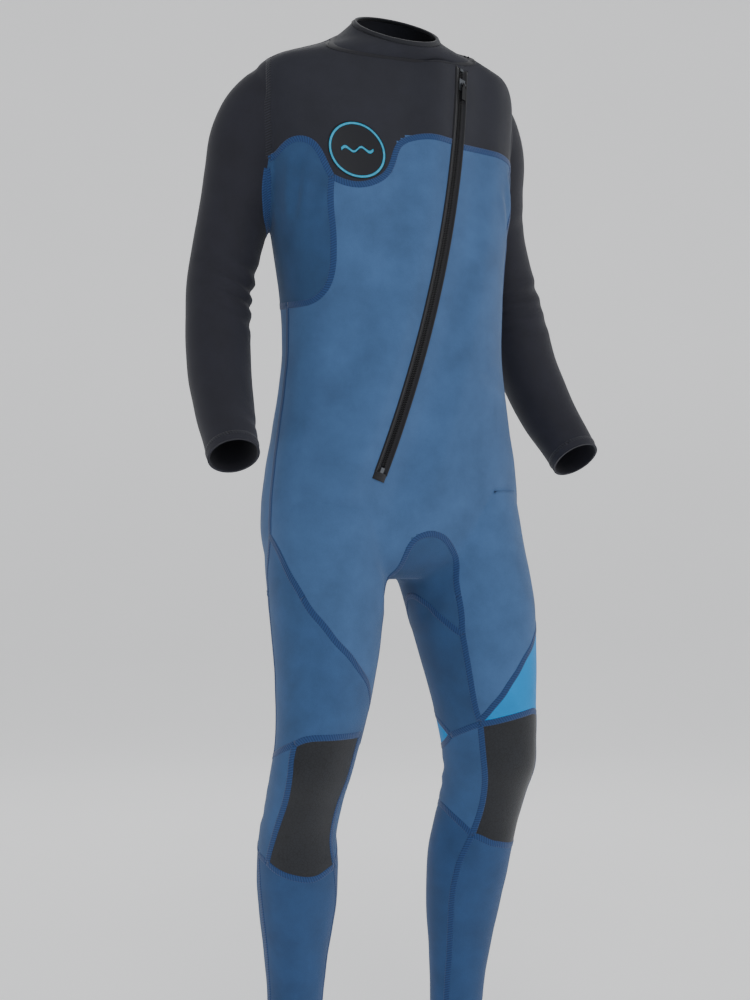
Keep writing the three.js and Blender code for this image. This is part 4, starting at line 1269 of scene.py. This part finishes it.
@dataclass
class FrontZip:
    """Slanted front zip: flap, tapes with corded edges, teeth, stops, slider and pull."""

    nodes: dict[str, bpy.types.Object]
    slot: float = 10.0
    pitch: float = 2.4

    @property
    def mm(self) -> float:
        """Turn for one millimetre along the zip."""
        return 1 / ZIP.radius

    def run(
        self, name: str, start: float, end: float, section: Sequence[tuple[float, float]], step: float = 6.0
    ) -> bpy.types.Object:
        """A long piece along the zip with one closed section.

        Args:
            name: The piece's name.
            start: Turn where it begins.
            end: Turn where it ends.
            section: Corners as (aside, height).
            step: Length of one of its rows.

        Returns:
            The piece, closed.
        """
        turns = np.linspace(start, end, max(2, int((end - start) / self.mm / step)))
        rings = np.stack([ZIP.at(turns, d, h) for d, h in section], 1)
        return outward(mesh_object(name, *closed_tube(rings)))

    def tape(self, side: Side) -> None:
        """Woven tape of one side with its rounded, corded outer edge."""
        s = side.value
        section = [
            (s * 3.3, -1.9), (s * 3.3, -0.75), (s * 4.2, -0.55), (s * 6.5, -0.45), (s * 7.8, 0.1),
            (s * 8.6, 1.15), (s * 9.9, 1.75), (s * 11.2, 1.3),
            (s * 11.9, 0.2), (s * 11.2, -0.6), (s * 9.4, -1.9),
        ]
        obj = self.run(f"zip_tape_{side.word}", ZIP.start + 0.3 * self.mm, ZIP.end - 0.3 * self.mm, section)
        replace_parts(dress(obj, TAPE), f"zip_tape_{side.word}")
        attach(obj, "suit")

    def teeth(self, side: Side) -> None:
        """A row of small teeth that mesh with the other side's."""
        first, last = ZIP.start + 6 * self.mm, ZIP.end - 12 * self.mm
        shift = 0.0 if side is Side.LEFT else 0.5
        points: list[Array] = []
        faces: list[tuple[int, ...]] = []
        count = int((last - first) / self.mm / self.pitch)
        for n in range(count):
            middle = first + (n + 0.5 + shift) * self.pitch * self.mm
            base = len(points)
            for along in (-0.42, 0.42):
                for d, h in ((-0.35, 0.1), (0.1, 0.95), (2.2, 1.05), (3.1, 0.3), (3.1, -1.5), (-0.1, -1.3)):
                    aside = side.value * (d + 0.45)
                    points.append(ZIP.at(middle + along * self.pitch * 0.62 * self.mm, aside, h))
            faces += [(base + k, base + (k + 1) % 6, base + 6 + (k + 1) % 6, base + 6 + k) for k in range(6)]
            faces += [tuple(base + k for k in range(6)), tuple(base + 11 - k for k in range(6))]
        obj = outward(mesh_object(f"zip_teeth_{side.word}", np.array(points), faces))
        obj.data.shade_flat()
        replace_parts(dress(obj, TEETH), f"zip_teeth_{side.word}")
        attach(obj, "suit")

    def build(self) -> None:
        """Makes the zip's pieces and finishes its hard parts."""
        flap = self.run(
            "zip_flap", ZIP.start + 4 * self.mm, ZIP.end + 8 * self.mm,
            [
                (-15.6, -3.7), (-14, -3.35), (14, -3.35), (15.6, -3.7),
                (15.6, -4.4), (14, -4.85), (-14, -4.85), (-15.6, -4.4),
            ],
        )
        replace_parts(dress(flap, BLACK), "zip_flap")
        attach(flap, "suit")
        for side in Side:
            self.tape(side)
            self.teeth(side)
        end = self.run(
            "zip_end_patch", ZIP.end - 2 * self.mm, ZIP.end + 9 * self.mm,
            [(-11.5, -0.4), (-10.5, 0.9), (0, 1.35), (10.5, 0.9), (11.5, -0.4), (0, -1.2)], step=2.0,
        )
        dress(end, TAPE)
        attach(end, "suit")
        for node, finish in (
            ("slider_body", METAL),
            ("pull_tab", PULL),
            ("zip_top_stop", METAL),
            ("zip_bottom_stop", METAL),
        ):
            obj = self.nodes[node]
            dress(obj, finish)
            soft = obj.modifiers.new("rounded", "BEVEL")
            soft.width = 0.00035
            soft.segments = 2
            soft.limit_method = "ANGLE"
        LOG.info("zip built")


# ---- Badge ----


@dataclass
class Badge:
    """Round printed badge on the right chest: a black disc, a thin ring and plain waves."""

    skin: Skin
    radius: float = 40.0
    degrees: float = -118.0
    level: float = -150.0

    def place(self, x: Array, y: Array, height: float) -> Array:
        """Points of the badge laid on the chest, `height` proud of it."""
        centre = torso_at(np.array(self.degrees), np.array(self.level))
        up = unit(
            torso_at(np.array(self.degrees), np.array(self.level + 1))
            - torso_at(np.array(self.degrees), np.array(self.level - 1))
        )
        aside = unit(torso_at(np.array(self.degrees + 1), np.array(self.level)) - centre)
        flat = centre + np.ravel(x)[:, None] * aside + np.ravel(y)[:, None] * up
        return np.array([self.skin.on(p, height) for p in flat])

    def layer(self, name: str, x: Array, y: Array, base: float, top: float, finish: Finish) -> None:
        """A thin print from a grid of points.

        Args:
            name: The piece's name, also the CAD node that it stands for.
            x: Rows by columns, to the wearer's left.
            y: Rows by columns, up.
            base: Height of its underside.
            top: Height of its outside.
            finish: Its finish.
        """
        rows, columns = x.shape
        under, over = self.place(x, y, base), self.place(x, y, top)
        size = rows * columns
        faces: list[tuple[int, ...]] = []
        for i in range(rows - 1):
            for j in range(columns - 1):
                a, b, c, d = (
                    i * columns + j,
                    i * columns + j + 1,
                    (i + 1) * columns + j + 1,
                    (i + 1) * columns + j,
                )
                faces += [(a, b, c, d), (size + d, size + c, size + b, size + a)]
        rim = [(i * columns, (i + 1) * columns) for i in range(rows - 1)]
        rim += [((i + 1) * columns - 1, (i + 2) * columns - 1) for i in range(rows - 1)]
        rim += [(j, j + 1) for j in range(columns - 1)]
        rim += [((rows - 1) * columns + j, (rows - 1) * columns + j + 1) for j in range(columns - 1)]
        faces += [(a, b, size + b, size + a) for a, b in rim]
        obj = mesh_object(name, np.concatenate([under, over]), faces)
        bm = bmesh.new()
        bm.from_mesh(obj.data)
        bmesh.ops.remove_doubles(bm, verts=bm.verts, dist=2e-5)
        bmesh.ops.recalc_face_normals(bm, faces=bm.faces)
        bm.to_mesh(obj.data)
        bm.free()
        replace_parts(dress(obj, finish), name)
        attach(obj, "suit")

    def build(self) -> None:
        """Makes the disc, the ring and the waves."""
        turn = np.radians(np.linspace(0, 360, 97))
        reach = np.linspace(0.02, 1, 9) * self.radius
        self.layer(
            "badge_disc", reach[:, None] * np.cos(turn), reach[:, None] * np.sin(turn), -0.3, 0.55, PATCH
        )
        reach = np.array([self.radius - 4.4, self.radius - 1.6])
        self.layer(
            "badge_ring", reach[:, None] * np.cos(turn), reach[:, None] * np.sin(turn), 0.3, 0.95, PATCH_CYAN
        )
        x = np.linspace(-22, 22, 61)
        crest = 3.2 * np.sin((x + 22) / 44 * math.pi * 4)
        band = np.stack([crest - 1.0 + 0.4 * np.cos(x / 6), crest + 2.2 - 0.4 * np.cos(x / 6)])
        self.layer("badge_wave", np.stack([x, x]), band, 0.3, 0.95, PATCH_CYAN)
        LOG.info("badge built")


# ---- Studio ----


@dataclass
class Studio:
    """Pale sweep, soft lights and the camera."""

    azimuth: float = 30.0
    distance: float = 3.2
    height: float = -0.612
    lens: float = 84.1
    aside: float = -0.0208
    sweep_turn: float = 0.5236

    def camera(self) -> None:
        """Camera level with the hips, on the wearer's right."""
        a = math.radians(self.azimuth)
        data = bpy.data.cameras.new("camera")
        data.sensor_fit = "AUTO"
        data.sensor_width = 36.0
        data.lens = self.lens
        obj = bpy.data.objects.new("camera", data)
        right = Vector((math.cos(a), -math.sin(a), 0))
        obj.location = (
            Vector((-math.sin(a), -math.cos(a), 0)) * self.distance
            + right * self.aside
            + Vector((0, 0, self.height))
        )
        obj.rotation_euler = Euler((math.radians(90), 0, -a))
        bpy.context.scene.collection.objects.link(obj)
        bpy.context.scene.camera = obj

    def light(self, name: str, place: Colour, size: float, power: float) -> None:
        """A square soft light aimed at the chest."""
        data = bpy.data.lights.new(name, "AREA")
        data.size = size
        data.energy = power
        obj = bpy.data.objects.new(name, data)
        obj.location = place
        obj.rotation_euler = (Vector((0, 0, -0.55)) - obj.location).to_track_quat("-Z", "Y").to_euler()
        bpy.context.scene.collection.objects.link(obj)

    def build(self) -> None:
        """Makes the sweep, lights and camera."""
        profile = [(-5000.0, -1440.0), (4200.0, -1440.0)]
        profile += [
            (4200 + 1400 * math.sin(t), -1440 + 1400 * (1 - math.cos(t)))
            for t in np.linspace(0.1, math.pi / 2, 14)
        ]
        profile += [(5600.0, 3600.0)]
        points = np.array([(x, y, z) for y, z in profile for x in (-6000.0, 6000.0)])
        points = points @ np.array(
            [
                [math.cos(self.sweep_turn), -math.sin(self.sweep_turn), 0],
                [math.sin(self.sweep_turn), math.cos(self.sweep_turn), 0],
                [0, 0, 1],
            ]
        )
        sweep = mesh_object(
            "sweep", points, [(2 * i, 2 * i + 1, 2 * i + 3, 2 * i + 2) for i in range(len(profile) - 1)]
        )
        paint = Paint("pale_sweep")
        place = paint.node("ShaderNodeTexCoord").outputs["Object"]
        cloud = paint.texture("ShaderNodeTexNoise", place, Scale=3.0)
        colour = paint.mix(cloud, (0.86, 0.86, 0.865), (0.88, 0.88, 0.885))
        paint.finish(colour, paint.range(cloud, 0.8, 0.9), paint.bump(cloud, 0.02, 0.001))
        shader = next(n for n in paint.material.node_tree.nodes if n.type == "BSDF_PRINCIPLED")
        shader.inputs["Emission Color"].default_value = (1.0, 1.0, 1.0, 1.0)
        shader.inputs["Emission Strength"].default_value = 0.3
        sweep.data.materials.append(paint.material)
        world = bpy.data.worlds.new("studio")
        world.use_nodes = True
        world.node_tree.nodes["Background"].inputs["Color"].default_value = (0.92, 0.94, 0.97, 1)
        world.node_tree.nodes["Background"].inputs["Strength"].default_value = 0.5
        bpy.context.scene.world = world
        self.light("key", (-1.6, -3.2, 1.8), 1.8, 58)
        self.light("fill", (2.8, -2.2, 0.4), 2.2, 22)
        self.light("back", (1.4, 3.0, 1.6), 2.0, 40)
        self.camera()


def main() -> None:
    """Builds the suit piece by piece."""
    logging.basicConfig(level=logging.INFO, format="%(message)s")
    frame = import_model()
    skin = Skin(frame["nodes"])
    LOG.info("skin: %d points, %d faces", len(skin.points), len(skin.faces))
    Panels(skin, frame["record"]).build()
    Seams(skin).build()
    Collar().build(skin)
    FrontZip(frame["nodes"]).build()
    Badge(skin).build()
    Studio().build()


if __name__ == "__main__":
    main()
